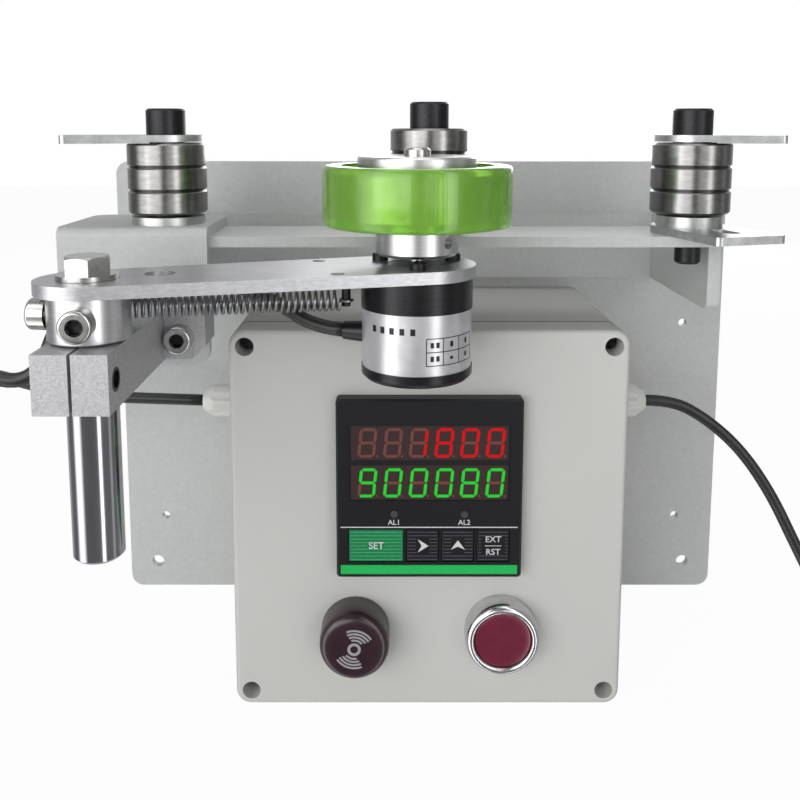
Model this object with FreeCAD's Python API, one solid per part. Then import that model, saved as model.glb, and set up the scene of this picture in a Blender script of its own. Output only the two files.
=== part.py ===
"""Cable length counter: a control box on a steel back plate, with guide rollers and a swinging measuring wheel.

Frame: the origin is the centre of the box's foot face, +Z is up, and the front faces -Y. Millimetres.
"""
import FreeCAD
import Part
import math
import os

V = FreeCAD.Vector

# ---- control box ----
BOX_W = 155.0           # width and height of the box
BOX_D = 94.0            # from the back plate to the front of the lid
BOX_WALL = 3.0
BOX_R = 6.0             # upright corner radius, seen from the front
LID_T = 16.0            # how deep the lid is
GASKET_T = 1.0
LID_SCREW_INSET = 6.3   # lid screws, in from the box's sides
LID_SCREW_R = 3.65      # recess round a lid screw
LID_PILLAR_R = 5.4
LID_SCREW_SHANK_R = 2.0
LID_SCREW_LEN = 18.0
LID_SEAT = 4.0          # a lid screw's seat, in front of the lid's back edge
LID_HEAD_T = 2.5
DRIVE_W = 1.0           # cross recess
DRIVE_DEPTH = 1.1
BOX_SCREW_INSET = 25.5  # screws that hold the box to the plate, in from the box's sides
BOX_SCREW_R = 2.0
BOX_SCREW_HEAD_R = 4.0
BOX_SCREW_HEAD_T = 2.4

# ---- back plate ----
PLATE_W = 294.0
PLATE_RISE = 24.5       # plate's top edge, above the roller frame's top
PLATE_T = 4.0
PLATE_R = 6.0
WALL_HOLE_R = 3.0
WALL_HOLE_INSET = 13.5  # in from the plate's sides
WALL_HOLE_RISE = 13.0   # in from its lower and upper edges
SMALL_HOLE_R = 2.0
SMALL_HOLE_INSET = 18.4
SMALL_HOLES_Z = (37.5, 137.0)

# ---- roller frame ----
FRAME_W = 230.0         # across both side plates
FRAME_T = 5.0
FRAME_RISE = 36.5       # frame's top, above the box
FRAME_H = 31.0
SIDE_D = 82.0           # side plates, from the back plate
BAR_FRONT = 95.0        # front edge of the top bar, from the back plate
BAR_D = 35.0
BAR_T = 4.0
CORNER_R = 4.0

# ---- post bracket, on the left end of the bar ----
BRACKET_OUT = 24.5      # bracket, past the frame's left side
BRACKET_W = 56.0
BRACKET_T = 4.0
BRACKET_D = 48.0
BRACKET_DROP = 53.0     # flange, below the bracket's top
BRACKET_R = 6.0

# ---- guide rollers: 6200 bearings on M10 screws ----
ROLLER_INSET = 13.5     # side rollers, in from the frame's sides
ROLLER_DEPTH = 82.0     # roller axes, from the back plate
BEARING_R = 15.0
BEARING_BORE = 5.0
BEARING_H = 9.0
INNER_R = 7.6           # outside of the inner ring
OUTER_RING_IN = 12.0
SHIELD_T = 0.8
SHIELD_GAP = 0.15
RING_SHOULDER = 8.6     # faces that clamp inner rings reach no further out
STACK_GAP = 0.1         # between two turning outer rings, face to face
SHANK_R = 4.95
HEAD_R = 7.5
HEAD_H = 10.0
HEAD_KEY = 8.0          # hexagon socket, across its flats
SCREW_CHAMFER = 0.8
SIDE_BEARINGS = 3
CENTRE_BEARINGS = 4
SIDE_SCREW_LEN = 50.0
CENTRE_SCREW_LEN = 55.0
TAB_T = 3.0
TAB_R = 14.3
TAB_CORNER_R = 2.0
TAB_LEN = 38.0          # from the bolt to the flat end
TAB_SHORT_LEN = 31.5
TAB_SLOT_LEN = 14.0
TAB_SLOT_W = 6.4
TAB_SLOT_END = 8.5      # metal left past the slot
TAB_RELIEF = 0.5        # under a top tab, so that it misses the turning outer ring
TAB_TOP_LEFT_ANGLE = 195.0
TAB_TOP_RIGHT_ANGLE = -8.0
TAB_LOW_RIGHT_ANGLE = -74.0
SPACER_R = 9.3
RIGHT_SPACER_R = 12.5
CENTRE_SPACER_H = 4.5
LEFT_SPACER_R = 14.0

# ---- measuring wheel ----
WHEEL_X = -6.0
WHEEL_R = 31.83         # 200 mm round
WHEEL_RISE = 8.5        # wheel's lower face, above the frame's top
WHEEL_W = 20.0
TYRE_T = 6.0
WHEEL_GAP = 0.4         # to the centre rollers at rest
HUB_FLANGE_R = 20.0
HUB_FLANGE_H = 3.0
HUB_BOSS_R = 14.0
HUB_BOSS_GAP = 0.5      # above the heads of the encoder's screws
HUB_WEB = 3.0           # hub's web and rim, in from the tyre's faces
SET_SCREW_R = 2.0
HUB_SCREW_R = 4.5
SHAFT_R = 3.0

# ---- swinging arm ----
ARM_DROP = 8.7          # arm's underside, below the frame's top
ARM_T = 4.0
ARM_PIVOT_R = 16.0
ARM_END_R = 20.0
PIVOT_OUT = 7.5         # pivot, in from the frame's left side
PIVOT_DEPTH = 159.0     # pivot axis, from the back plate
ARM_HOLE_R = 2.2        # pair of spare holes near the encoder
ARM_HOLE_AT = 75.0      # from the pivot, along the arm
ARM_HOLE_ASIDE = 14.0
ARM_SLING_R = 4.8       # larger hole near the pivot
ARM_SLING_AT = 21.5
ARM_SLING_ASIDE = 3.0
FIT = 0.05              # running clearance, on the radius
POST_R = 8.0
POST_LEN = 85.0         # below the arm
POST_NECK_R = 6.0       # end of the post that the arm turns on
COLLAR_R = 12.5
COLLAR_H = 14.5
BOLT_SHANK_R = 3.4
BOLT_LEN = 22.0
BOLT_TURN = 51.0
BOLT_AF = 13.0
BOLT_HEAD_H = 5.5
WASHER_R = 9.35
WASHER_T = 1.5
ARM_PLAY = 0.1          # above and below the arm

# ---- rotary encoder ----
ENCODER_R = 19.0
ENCODER_FLANGE_H = 10.5
ENCODER_BODY_H = 20.0
ENCODER_CAP_H = 4.3
ENCODER_BOSS_R = 10.0
ENCODER_SCREW_PCD_R = 14.5
ENCODER_SCREW_R = 1.5
ENCODER_SCREW_BITE = 3.5
ENCODER_HEAD_R = 2.75
ENCODER_HEAD_H = 2.6
SHAFT_IN = 15.0         # encoder's shaft, below the arm
OUTLET_R = 4.0
OUTLET_LEN = 7.0
OUTLET_SEAT = 4.0       # outlet's root, inside the housing
OUTLET_ANGLE = 165.0
OUTLET_DROP = 20.8      # below the arm

# ---- clamp that holds the post ----
CLAMP_W = 22.6
CLAMP_H = 18.2
CLAMP_GAP = 0.5         # below the collar
CLAMP_FRONT = 19.0      # in front of the post's axis
CLAMP_SLIT = 1.0
CLAMP_BASE_W = 52.0
CLAMP_BASE_T = 16.0
CLAMP_BASE_PITCH = 34.0 # between the two screws that hold it to the flange
CLAMP_BASE_SCREW_DROP = 1.0
CLAMP_SCREW_AT = 12.0   # grub screw across the slit, in front of the post's axis
CLAMP_SCREW_IN = 5.0    # its end, inside the clamp's right face
CLAMP_CHAMFER = 5.0
M6_HEAD_R = 5.0
M6_HEAD_H = 6.0
M6_SHANK_R = 2.95
M6_SOCKET_R = 2.6
COLLAR_SCREW_STEM = 0.2

# ---- tension spring ----
SPRING_R = 3.0
SPRING_WIRE_R = 0.5
SPRING_PITCH = 2.1
WIRE_SIDES = 6          # flats round the wire, near enough to round at its size
PEG_R = 1.5
PEG_ASIDE = 5.0         # from the encoder's side to the peg
PEG_FRONT = 2.0         # in front of the wheel's axis
SEAT_GAP = 0.3

# ---- meter ----
METER_W = 72.0
METER_DROP = 61.2       # meter's middle, below the box's top
METER_FLANGE = 6.0
METER_CASE_W = 67.0
METER_CASE_D = 62.0
METER_CASE_WALL = 2.0
TERMINAL_INSET = 6.0    # terminal block, in from the case's sides
TERMINAL_H = 24.0
TERMINAL_D = 8.0
CLIP_T = 3.0
CLIP_L = 22.0
CLIP_H = 16.0
METER_R = 1.5
METER_TOP_MARGIN = 10.2
METER_SIDE_MARGIN = 5.0
WINDOW_H = 30.2
WINDOW_T = 2.0
KEY_Z = -22.8           # keys, below the meter's middle
KEY_H = 13.4
KEY_T = 1.4
KEY_TRAVEL = 0.6
KEY_GAP = 0.25
SET_KEY_W = 21.5
KEY_W = 12.8
KEY_SPACE = 0.9

# ---- buzzer and push button ----
CONTROL_X = 29.0
CONTROL_DROP = 24.5     # controls, below the meter's lower edge
BUZZER_R = 13.5
BUZZER_H = 13.0
BARREL_R = 11.0
BARREL_LEN = 30.0
NUT_R = 14.5
NUT_T = 4.0
COLLAR_BASE_R = 14.35
COLLAR_BASE_T = 2.0
BEZEL_R = 13.0
BEZEL_H = 9.0
CAP_R = 10.85
CAP_OUT = 8.0
CAP_TRAVEL = 3.0
CAP_GAP = 0.15
PLUNGER_R = 4.0
PLUNGER_LEN = 9.0
WELL_DEPTH = 14.0

# ---- cable glands and cords ----
GLAND_DROP = 44.3       # glands, below the box's top
GLAND_DEPTH = 41.0
GLAND_R = 7.5
GLAND_LEN = 21.0
GLAND_NUT_LEN = 8.0
GLAND_FLANGE_R = 9.0
GLAND_FLANGE_T = 2.0
GLAND_BODY_LEN = 8.0
GLAND_THREAD_R = 6.0
GLAND_THREAD_LEN = 7.0
GLAND_FLUTE_R = 3.0
GLAND_FLUTE_AT = 9.6
LOCK_NUT_AF = 17.0
LOCK_NUT_T = 5.0
CORD_R = 2.5

# ---- places that follow from the sizes ----
PLATE_Y = BOX_D / 2
LID_Y = -BOX_D / 2
BOX_MID = BOX_W / 2
LID_SCREW_AT = BOX_MID - LID_SCREW_INSET
BOX_SCREW_AT = BOX_MID - BOX_SCREW_INSET
FRAME_TOP = BOX_W + FRAME_RISE
PLATE_H = FRAME_TOP + PLATE_RISE
BRACKET_X0 = -FRAME_W / 2 - BRACKET_OUT
BRACKET_X1 = BRACKET_X0 + BRACKET_W
ROLLER_X = FRAME_W / 2 - ROLLER_INSET
PIVOT_X = -FRAME_W / 2 + PIVOT_OUT
ROLLER_Y = PLATE_Y - ROLLER_DEPTH
POST_Y = PLATE_Y - PIVOT_DEPTH
BAR_TOP = FRAME_TOP
BRACKET_TOP = BAR_TOP + BRACKET_T
BAR_FRONT_Y = PLATE_Y - BAR_FRONT
FLANGE_Y = BAR_FRONT_Y - BRACKET_T
SIDE_STACK_Z = BRACKET_TOP + BRACKET_T
TAB_TOP_Z = SIDE_STACK_Z + SIDE_BEARINGS * BEARING_H
CENTRE_STACK_Z = BAR_TOP + CENTRE_SPACER_H
WHEEL_Z = FRAME_TOP + WHEEL_RISE
WHEEL_CENTRE_Y = ROLLER_Y - math.sqrt((WHEEL_R + BEARING_R + WHEEL_GAP) ** 2 - WHEEL_X ** 2)
ARM_Z = FRAME_TOP - ARM_DROP
ARM_TOP = ARM_Z + ARM_T
HUB_BOSS_LOW = ARM_TOP + ENCODER_HEAD_H + HUB_BOSS_GAP
POST_LOW = ARM_Z - POST_LEN
COLLAR_Z = ARM_Z - ARM_PLAY - COLLAR_H
COLLAR_MID = COLLAR_Z + COLLAR_H / 2
CLAMP_Z0 = COLLAR_Z - CLAMP_GAP - CLAMP_H
CLAMP_BASE_SCREW_Z = CLAMP_Z0 + CLAMP_H / 2 - CLAMP_BASE_SCREW_DROP
SPRING_Z = COLLAR_MID
OUTLET_Z = ARM_Z - OUTLET_DROP
ENCODER_Z = ARM_Z - ENCODER_FLANGE_H - ENCODER_BODY_H
GLAND_Y = PLATE_Y - GLAND_DEPTH
GLAND_Z = BOX_W - GLAND_DROP
GLAND_END = BOX_MID + GLAND_LEN
METER_Z = BOX_W - METER_DROP
CONTROL_Z = METER_Z - METER_W / 2 - CONTROL_DROP


def save(shape, node):
    """Write one named piece."""
    shape.exportStep("parts/" + node + ".step")


def block(x0, x1, y0, y1, z0, z1):
    return Part.makeBox(x1 - x0, y1 - y0, z1 - z0, V(x0, y0, z0))


def rod(x, y, z, radius, height):
    """An upright cylinder."""
    return Part.makeCylinder(radius, height, V(x, y, z), V(0, 0, 1))


def rod_y(x, y, z, radius, length):
    """A cylinder that runs back from y."""
    return Part.makeCylinder(radius, length, V(x, y, z), V(0, 1, 0))


def rod_x(x, y, z, radius, length):
    """A cylinder that runs right from x."""
    return Part.makeCylinder(radius, length, V(x, y, z), V(1, 0, 0))


def turned(points, x, y, z):
    """A solid of revolution about an upright axis, from (radius, height) points."""
    wire = Part.makePolygon([V(r, 0, h) for r, h in points + points[:1]])
    solid = Part.Face(wire).revolve(V(0, 0, 0), V(0, 0, 1), 360)
    solid.translate(V(x, y, z))
    return solid


def facing(points, x, y, z):
    """A solid of revolution about an axis along Y: heights run towards the front."""
    solid = turned(points, 0, 0, 0)
    solid.rotate(V(0, 0, 0), V(1, 0, 0), 90)
    solid.translate(V(x, y, z))
    return solid


def along(shape, direction):
    """The edges of a shape that run along a direction."""
    found = []
    for edge in shape.Edges:
        if isinstance(edge.Curve, Part.Line) and abs(edge.tangentAt(edge.FirstParameter).dot(direction)) > 0.999:
            found.append(edge)
    return found


def hexagon(x, y, z, across, height, turn=0.0):
    """An upright hexagonal prism, by its width across the flats."""
    corner = across / math.sqrt(3)
    points = []
    for k in range(7):
        angle = math.radians(60 * k + turn)
        points.append(V(x + corner * math.cos(angle), y + corner * math.sin(angle), z))
    return Part.Face(Part.makePolygon(points)).extrude(V(0, 0, height))


def group(solids):
    return Part.makeCompound(solids)


# ---- steel frame ----

def back_plate():
    plate = block(-PLATE_W / 2, PLATE_W / 2, PLATE_Y, PLATE_Y + PLATE_T, 0, PLATE_H)
    plate = plate.makeFillet(PLATE_R, along(plate, V(0, 1, 0)))
    holes = []
    for side in (-1, 1):
        for z in (WALL_HOLE_RISE, PLATE_H - WALL_HOLE_RISE):
            x = side * (PLATE_W / 2 - WALL_HOLE_INSET)
            holes.append(rod_y(x, PLATE_Y - 1, z, WALL_HOLE_R, PLATE_T + 2))
        for z in SMALL_HOLES_Z:
            x = side * (PLATE_W / 2 - SMALL_HOLE_INSET)
            holes.append(rod_y(x, PLATE_Y - 1, z, SMALL_HOLE_R, PLATE_T + 2))
        for up in (-1, 1):
            z = BOX_MID + up * BOX_SCREW_AT
            holes.append(rod_y(side * BOX_SCREW_AT, PLATE_Y - 1, z, BOX_SCREW_R, PLATE_T + 2))
    return plate.cut(holes)


def web_plate():
    return block(-FRAME_W / 2, FRAME_W / 2, PLATE_Y - FRAME_T, PLATE_Y, FRAME_TOP - FRAME_H, FRAME_TOP)


def side_plate(side):
    outer = side * FRAME_W / 2
    inner = side * (FRAME_W / 2 - FRAME_T)
    plate = block(min(outer, inner), max(outer, inner), PLATE_Y - SIDE_D, PLATE_Y - FRAME_T,
                  FRAME_TOP - FRAME_H, FRAME_TOP)
    low_front = [e for e in along(plate, V(1, 0, 0))
                 if e.CenterOfMass.z < FRAME_TOP - 1 and e.CenterOfMass.y < PLATE_Y - SIDE_D + 1]
    return plate.makeFillet(CORNER_R, low_front)


def top_bar():
    half = FRAME_W / 2 - FRAME_T
    bar = block(-half, half, BAR_FRONT_Y, BAR_FRONT_Y + BAR_D, BAR_TOP - BAR_T, BAR_TOP)
    holes = [rod(x, ROLLER_Y, BAR_TOP - BAR_T - 1, SHANK_R, BAR_T + 2) for x in (-ROLLER_X, 0, ROLLER_X)]
    return bar.cut(holes)


def post_bracket():
    """An angle: a plate on the bar and a flange down its front."""
    top = block(BRACKET_X0, BRACKET_X1, FLANGE_Y, FLANGE_Y + BRACKET_D, BAR_TOP, BRACKET_TOP)
    flange = block(BRACKET_X0, BRACKET_X1, FLANGE_Y, BAR_FRONT_Y, BRACKET_TOP - BRACKET_DROP, BAR_TOP + 1)
    flange = flange.makeFillet(BRACKET_R, [e for e in along(flange, V(0, 1, 0)) if e.CenterOfMass.z < BAR_TOP])
    angle = top.fuse(flange).removeSplitter()
    corner = [e for e in along(angle, V(1, 0, 0)) if e.CenterOfMass.z > BRACKET_TOP - 0.1
              and e.CenterOfMass.y < FLANGE_Y + 0.1]
    angle = angle.makeFillet(BRACKET_T - 0.5, corner)
    rear = [e for e in along(angle, V(0, 0, 1)) if e.CenterOfMass.y > FLANGE_Y + BRACKET_D - 1]
    angle = angle.makeFillet(BRACKET_R, rear)
    holes = [rod(-ROLLER_X, ROLLER_Y, BAR_TOP - 1, SHANK_R, BRACKET_T + 2)]
    for x in clamp_screw_places():
        holes.append(rod_y(x, FLANGE_Y - 1, CLAMP_BASE_SCREW_Z, M6_SHANK_R, BRACKET_T + 2))
    return angle.cut(holes)


# ---- box ----

def box_prism(y0, y1, inset):
    """A square prism with the box's rounded corners, smaller by inset on every side."""
    prism = block(-BOX_MID + inset, BOX_MID - inset, y0, y1, inset, BOX_W - inset)
    return prism.makeFillet(max(BOX_R - inset, 1.0), along(prism, V(0, 1, 0)))


def corner_places():
    return [(sx * LID_SCREW_AT, BOX_MID + sz * LID_SCREW_AT) for sx in (-1, 1) for sz in (-1, 1)]


def box_body():
    """A tub: its floor lies on the back plate, and a pillar stands in each corner."""
    rim = LID_Y + LID_T + GASKET_T
    tub = box_prism(rim, PLATE_Y, 0).cut(box_prism(rim - 1, PLATE_Y - BOX_WALL, BOX_WALL))
    for x, z in corner_places():
        pillar = rod_y(x, rim, z, LID_PILLAR_R, PLATE_Y - rim - 1).common(box_prism(rim, PLATE_Y, 0))
        tub = tub.fuse(pillar)
    tub = tub.removeSplitter()
    holes = [rod_y(x, rim - 1, z, LID_SCREW_SHANK_R, 16) for x, z in corner_places()]
    holes += [rod_y(x, PLATE_Y - BOX_WALL - 1, z, BOX_SCREW_R, BOX_WALL + 2) for x, z in box_screw_places()]
    holes += [rod_x(-BOX_MID - 1, GLAND_Y, GLAND_Z, GLAND_THREAD_R, BOX_WALL + 2),
              rod_x(BOX_MID - BOX_WALL - 1, GLAND_Y, GLAND_Z, GLAND_THREAD_R, BOX_WALL + 2)]
    return tub.cut(holes)


def box_screw_places():
    return [(sx * BOX_SCREW_AT, BOX_MID + sz * BOX_SCREW_AT) for sx in (-1, 1) for sz in (-1, 1)]


def box_lid():
    """The front shell, with a deep recess over each screw and the cut-outs for the controls."""
    back = LID_Y + LID_T
    lid = box_prism(LID_Y, back, 0)
    rim = [e for e in lid.Edges if e.BoundBox.YMax < LID_Y + 0.01]
    lid = lid.makeFillet(2.0, rim)
    lid = lid.cut(box_prism(LID_Y + BOX_WALL, back + 1, BOX_WALL))
    for x, z in corner_places():
        lid = lid.fuse(rod_y(x, LID_Y + BOX_WALL - 1, z, LID_PILLAR_R, LID_T - BOX_WALL + 1).common(
            box_prism(LID_Y, back, 0)))
    lid = lid.removeSplitter()
    case = METER_CASE_W / 2
    holes = [block(-case, case, LID_Y - 1, LID_Y + BOX_WALL + 1, METER_Z - case, METER_Z + case)]
    for x in (-CONTROL_X, CONTROL_X):
        holes.append(rod_y(x, LID_Y - 1, CONTROL_Z, BARREL_R, BOX_WALL + 2))
    for x, z in corner_places():
        holes.append(rod_y(x, LID_Y - 1, z, LID_SCREW_R, LID_T - LID_SEAT + 1))
        holes.append(rod_y(x, LID_Y - 1, z, LID_SCREW_SHANK_R, LID_T + 2))
    return lid.cut(holes)


def lid_gasket():
    y0 = LID_Y + LID_T
    ring = box_prism(y0, y0 + GASKET_T, 0).cut(box_prism(y0 - 1, y0 + GASKET_T + 1, BOX_WALL))
    return ring


def lid_screws():
    """Cross-recessed screws at the bottom of the lid's deep recesses."""
    screws = []
    seat = LID_Y + LID_T - LID_SEAT
    front = seat - LID_HEAD_T
    reach, half = LID_SCREW_R, DRIVE_W / 2
    for x, z in corner_places():
        head = rod_y(x, front, z, LID_SCREW_R - 0.4, LID_HEAD_T)
        cross = [block(x - reach, x + reach, front - 1, front + DRIVE_DEPTH, z - half, z + half),
                 block(x - half, x + half, front - 1, front + DRIVE_DEPTH, z - reach, z + reach)]
        shank = rod_y(x, seat, z, LID_SCREW_SHANK_R, LID_SCREW_LEN)
        screws.append(head.cut(cross).fuse(shank).removeSplitter())
    return screws


def box_screws():
    """Pan-head screws inside the box, tapped into the back plate."""
    screws = []
    for x, z in box_screw_places():
        seat = PLATE_Y - BOX_WALL
        head = rod_y(x, seat - BOX_SCREW_HEAD_T, z, BOX_SCREW_HEAD_R, BOX_SCREW_HEAD_T)
        shank = rod_y(x, seat, z, BOX_SCREW_R, BOX_WALL + PLATE_T - 0.5)
        screws.append(head.fuse(shank).removeSplitter())
    return screws


# ---- glands ----

def gland(side):
    """Body, dome nut and the lock nut inside the wall, as separate solids along the gland's axis."""
    bore, inner, mouth = CORD_R, -BOX_WALL - GLAND_THREAD_LEN, GLAND_BODY_LEN
    body = turned([(bore, inner), (GLAND_THREAD_R, inner), (GLAND_THREAD_R, 0), (GLAND_FLANGE_R, 0),
                   (GLAND_FLANGE_R, GLAND_FLANGE_T), (GLAND_R, GLAND_FLANGE_T + 1), (GLAND_R, mouth), (bore, mouth)],
                  0, 0, 0)
    dome = turned([(bore, mouth), (GLAND_R, mouth), (GLAND_R, mouth + GLAND_NUT_LEN), (GLAND_R - 3, GLAND_LEN),
                   (bore, GLAND_LEN)], 0, 0, 0)
    flutes = []
    for k in range(6):
        angle = math.radians(60 * k)
        x, y = GLAND_FLUTE_AT * math.cos(angle), GLAND_FLUTE_AT * math.sin(angle)
        flutes.append(rod(x, y, mouth - 1, GLAND_FLUTE_R, GLAND_LEN))
    dome = dome.cut(flutes)
    nut = hexagon(0, 0, -BOX_WALL - LOCK_NUT_T, LOCK_NUT_AF, LOCK_NUT_T)
    nut = nut.cut(rod(0, 0, -BOX_WALL - LOCK_NUT_T - 1, GLAND_THREAD_R, LOCK_NUT_T + 2))
    pieces = group([body, dome, nut])
    pieces.rotate(V(0, 0, 0), V(0, 1, 0), 90 * side)
    pieces.translate(V(side * BOX_MID, GLAND_Y, GLAND_Z))
    return pieces


# ---- meter ----

def meter_bezel():
    """A moulded front: a tray with the display window and the key wells let into it."""
    half = METER_W / 2
    front = LID_Y - METER_FLANGE
    frame = block(-half, half, front, LID_Y, METER_Z - half, METER_Z + half)
    frame = frame.makeFillet(METER_R, along(frame, V(0, 1, 0)))
    rim = [e for e in frame.Edges if e.BoundBox.YMax < front + 0.01]
    frame = frame.makeChamfer(0.8, rim)
    top = METER_Z + half - METER_TOP_MARGIN
    window = block(-half + METER_SIDE_MARGIN, half - METER_SIDE_MARGIN, front - 1, front + WINDOW_T,
                   top - WINDOW_H, top)
    wells = [window]
    for x0, width in key_places():
        wells.append(block(x0, x0 + width, front - 1, front + KEY_T + KEY_TRAVEL + 0.1,
                           METER_Z + KEY_Z - KEY_H / 2, METER_Z + KEY_Z + KEY_H / 2))
    return frame.cut(wells)


def key_places():
    """Left edge and width of each key well."""
    total = SET_KEY_W + 3 * KEY_W + 3 * KEY_SPACE
    x = -total / 2
    places = []
    for width in (SET_KEY_W, KEY_W, KEY_W, KEY_W):
        places.append((x, width))
        x += width + KEY_SPACE
    return places


def meter_window():
    half = METER_W / 2
    front = LID_Y - METER_FLANGE
    top = METER_Z + half - METER_TOP_MARGIN
    side = half - METER_SIDE_MARGIN
    return block(-side, side, front + 0.3, front + WINDOW_T, top - WINDOW_H, top)


def meter_key(index):
    x0, width = key_places()[index]
    front = LID_Y - METER_FLANGE
    key = block(x0 + KEY_GAP, x0 + width - KEY_GAP, front, front + KEY_T,
                METER_Z + KEY_Z - KEY_H / 2 + KEY_GAP, METER_Z + KEY_Z + KEY_H / 2 - KEY_GAP)
    rim = [e for e in key.Edges if e.BoundBox.YMax < front + 0.01]
    return key.makeFillet(0.4, rim)


def meter_case():
    """The case behind the panel, open at the front where the bezel closes it, with its terminal block."""
    half = METER_CASE_W / 2
    inside = half - METER_CASE_WALL
    back = LID_Y + METER_CASE_D
    case = block(-half, half, LID_Y, back, METER_Z - half, METER_Z + half)
    case = case.cut(block(-inside, inside, LID_Y - 1, back - METER_CASE_WALL, METER_Z - inside, METER_Z + inside))
    wide = half - TERMINAL_INSET
    terminals = block(-wide, wide, back, back + TERMINAL_D, METER_Z - TERMINAL_H / 2, METER_Z + TERMINAL_H / 2)
    return case.fuse(terminals).removeSplitter()


def meter_clips():
    """The two spring clips that pull the bezel against the lid."""
    half = METER_CASE_W / 2
    y0 = LID_Y + BOX_WALL
    clips = []
    for side in (-1, 1):
        a, b = side * half, side * (half + CLIP_T)
        clips.append(block(min(a, b), max(a, b), y0, y0 + CLIP_L, METER_Z - CLIP_H / 2, METER_Z + CLIP_H / 2))
    return clips


# ---- buzzer and button ----

def buzzer_cap():
    step = [(0, 0), (BUZZER_R, 0), (BUZZER_R, BUZZER_H - 5), (BUZZER_R - 1, BUZZER_H - 4),
            (BUZZER_R - 2.5, BUZZER_H - 0.8), (BUZZER_R - 4, BUZZER_H), (0, BUZZER_H)]
    return facing(step, -CONTROL_X, LID_Y, CONTROL_Z)


def barrel(x):
    return rod_y(x, LID_Y, CONTROL_Z, BARREL_R, BARREL_LEN)


def button_body():
    """Panel collar and barrel, with the well that the cap's stem slides in."""
    collar = facing([(0, 0), (COLLAR_BASE_R, 0), (COLLAR_BASE_R, COLLAR_BASE_T - 0.5),
                     (COLLAR_BASE_R - 0.5, COLLAR_BASE_T), (0, COLLAR_BASE_T)], CONTROL_X, LID_Y, CONTROL_Z)
    body = collar.fuse(barrel(CONTROL_X)).removeSplitter()
    well = rod_y(CONTROL_X, LID_Y - COLLAR_BASE_T - 1, CONTROL_Z, PLUNGER_R + FIT, COLLAR_BASE_T + 1 + WELL_DEPTH)
    return body.cut(well)


def button_bezel():
    """The chrome ring round the cap."""
    ring = facing([(CAP_R + CAP_GAP, COLLAR_BASE_T), (BEZEL_R, COLLAR_BASE_T), (BEZEL_R, BEZEL_H - 1.5),
                   (BEZEL_R - 0.9, BEZEL_H), (CAP_R + CAP_GAP, BEZEL_H)], CONTROL_X, LID_Y, CONTROL_Z)
    return ring


def button_cap():
    low = COLLAR_BASE_T + CAP_TRAVEL + 0.3
    cap = facing([(0, low), (CAP_R, low), (CAP_R, CAP_OUT - 0.6), (CAP_R - 0.6, CAP_OUT), (0, CAP_OUT + 0.1)],
                 CONTROL_X, LID_Y, CONTROL_Z)
    stem = rod_y(CONTROL_X, LID_Y - low - 0.5, CONTROL_Z, PLUNGER_R, low + 0.5 + PLUNGER_LEN)
    return cap.fuse(stem).removeSplitter()


def panel_nuts():
    nuts = []
    for x in (-CONTROL_X, CONTROL_X):
        y0 = LID_Y + BOX_WALL
        nuts.append(rod_y(x, y0, CONTROL_Z, NUT_R, NUT_T).cut(rod_y(x, y0 - 1, CONTROL_Z, BARREL_R, NUT_T + 2)))
    return nuts


# ---- guide rollers ----

def outer_ring(x, z):
    """Outer ring with both shields crimped in, as one turned profile."""
    c = 0.8
    low, high = STACK_GAP / 2, BEARING_H - STACK_GAP / 2
    shield = INNER_R + SHIELD_GAP
    points = [(shield, low + 0.4), (OUTER_RING_IN + 0.8, low + 0.4), (OUTER_RING_IN + 0.8, low), (BEARING_R - c, low),
              (BEARING_R, low + c), (BEARING_R, high - c), (BEARING_R - c, high), (OUTER_RING_IN + 0.8, high),
              (OUTER_RING_IN + 0.8, high - 0.4), (shield, high - 0.4), (shield, high - 0.4 - SHIELD_T),
              (OUTER_RING_IN, high - 0.4 - SHIELD_T), (OUTER_RING_IN, low + 0.4 + SHIELD_T),
              (shield, low + 0.4 + SHIELD_T)]
    return turned(points, x, ROLLER_Y, z)


def inner_ring(x, z):
    c = 0.3
    points = [(BEARING_BORE, 0), (INNER_R - c, 0), (INNER_R, c), (INNER_R, BEARING_H - c), (INNER_R - c, BEARING_H),
              (BEARING_BORE, BEARING_H)]
    return turned(points, x, ROLLER_Y, z)


def stacks():
    """Each roller stack: name, place, height of its lowest bearing, and how many bearings."""
    return [("left", -ROLLER_X, SIDE_STACK_Z, SIDE_BEARINGS), ("right", ROLLER_X, SIDE_STACK_Z, SIDE_BEARINGS),
            ("centre", 0.0, CENTRE_STACK_Z, CENTRE_BEARINGS)]


def inner_rings():
    rings = []
    for _, x, z, count in stacks():
        rings += [inner_ring(x, z + k * BEARING_H) for k in range(count)]
    return group(rings)


def socket_screw(x, y, seat, length):
    """Upright M10 socket head cap screw, head above its seat."""
    c = SCREW_CHAMFER
    screw = turned([(0, -length), (SHANK_R - c, -length), (SHANK_R, -length + c), (SHANK_R, 0), (HEAD_R, 0),
                    (HEAD_R, HEAD_H - c), (HEAD_R - c, HEAD_H), (0, HEAD_H)], x, y, seat)
    return screw.cut(hexagon(x, y, seat + HEAD_H * 0.45, HEAD_KEY, HEAD_H))


def stack_screws():
    screws = []
    for name, x, z, count in stacks():
        top = z + count * BEARING_H
        if name == "centre":
            screws.append(socket_screw(x, ROLLER_Y, top, CENTRE_SCREW_LEN))
        else:
            screws.append(socket_screw(x, ROLLER_Y, top + TAB_T, SIDE_SCREW_LEN))
    return group(screws)


def spacer(x, z, radius, height):
    """A bush whose top is stepped down, so that it touches only the inner ring above it."""
    step = min(1.0, height / 3)
    return turned([(SHANK_R, 0), (radius, 0), (radius, height - step), (min(radius, RING_SHOULDER), height - step),
                   (min(radius, RING_SHOULDER) - 1.2, height), (SHANK_R, height)], x, ROLLER_Y, z)


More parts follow.
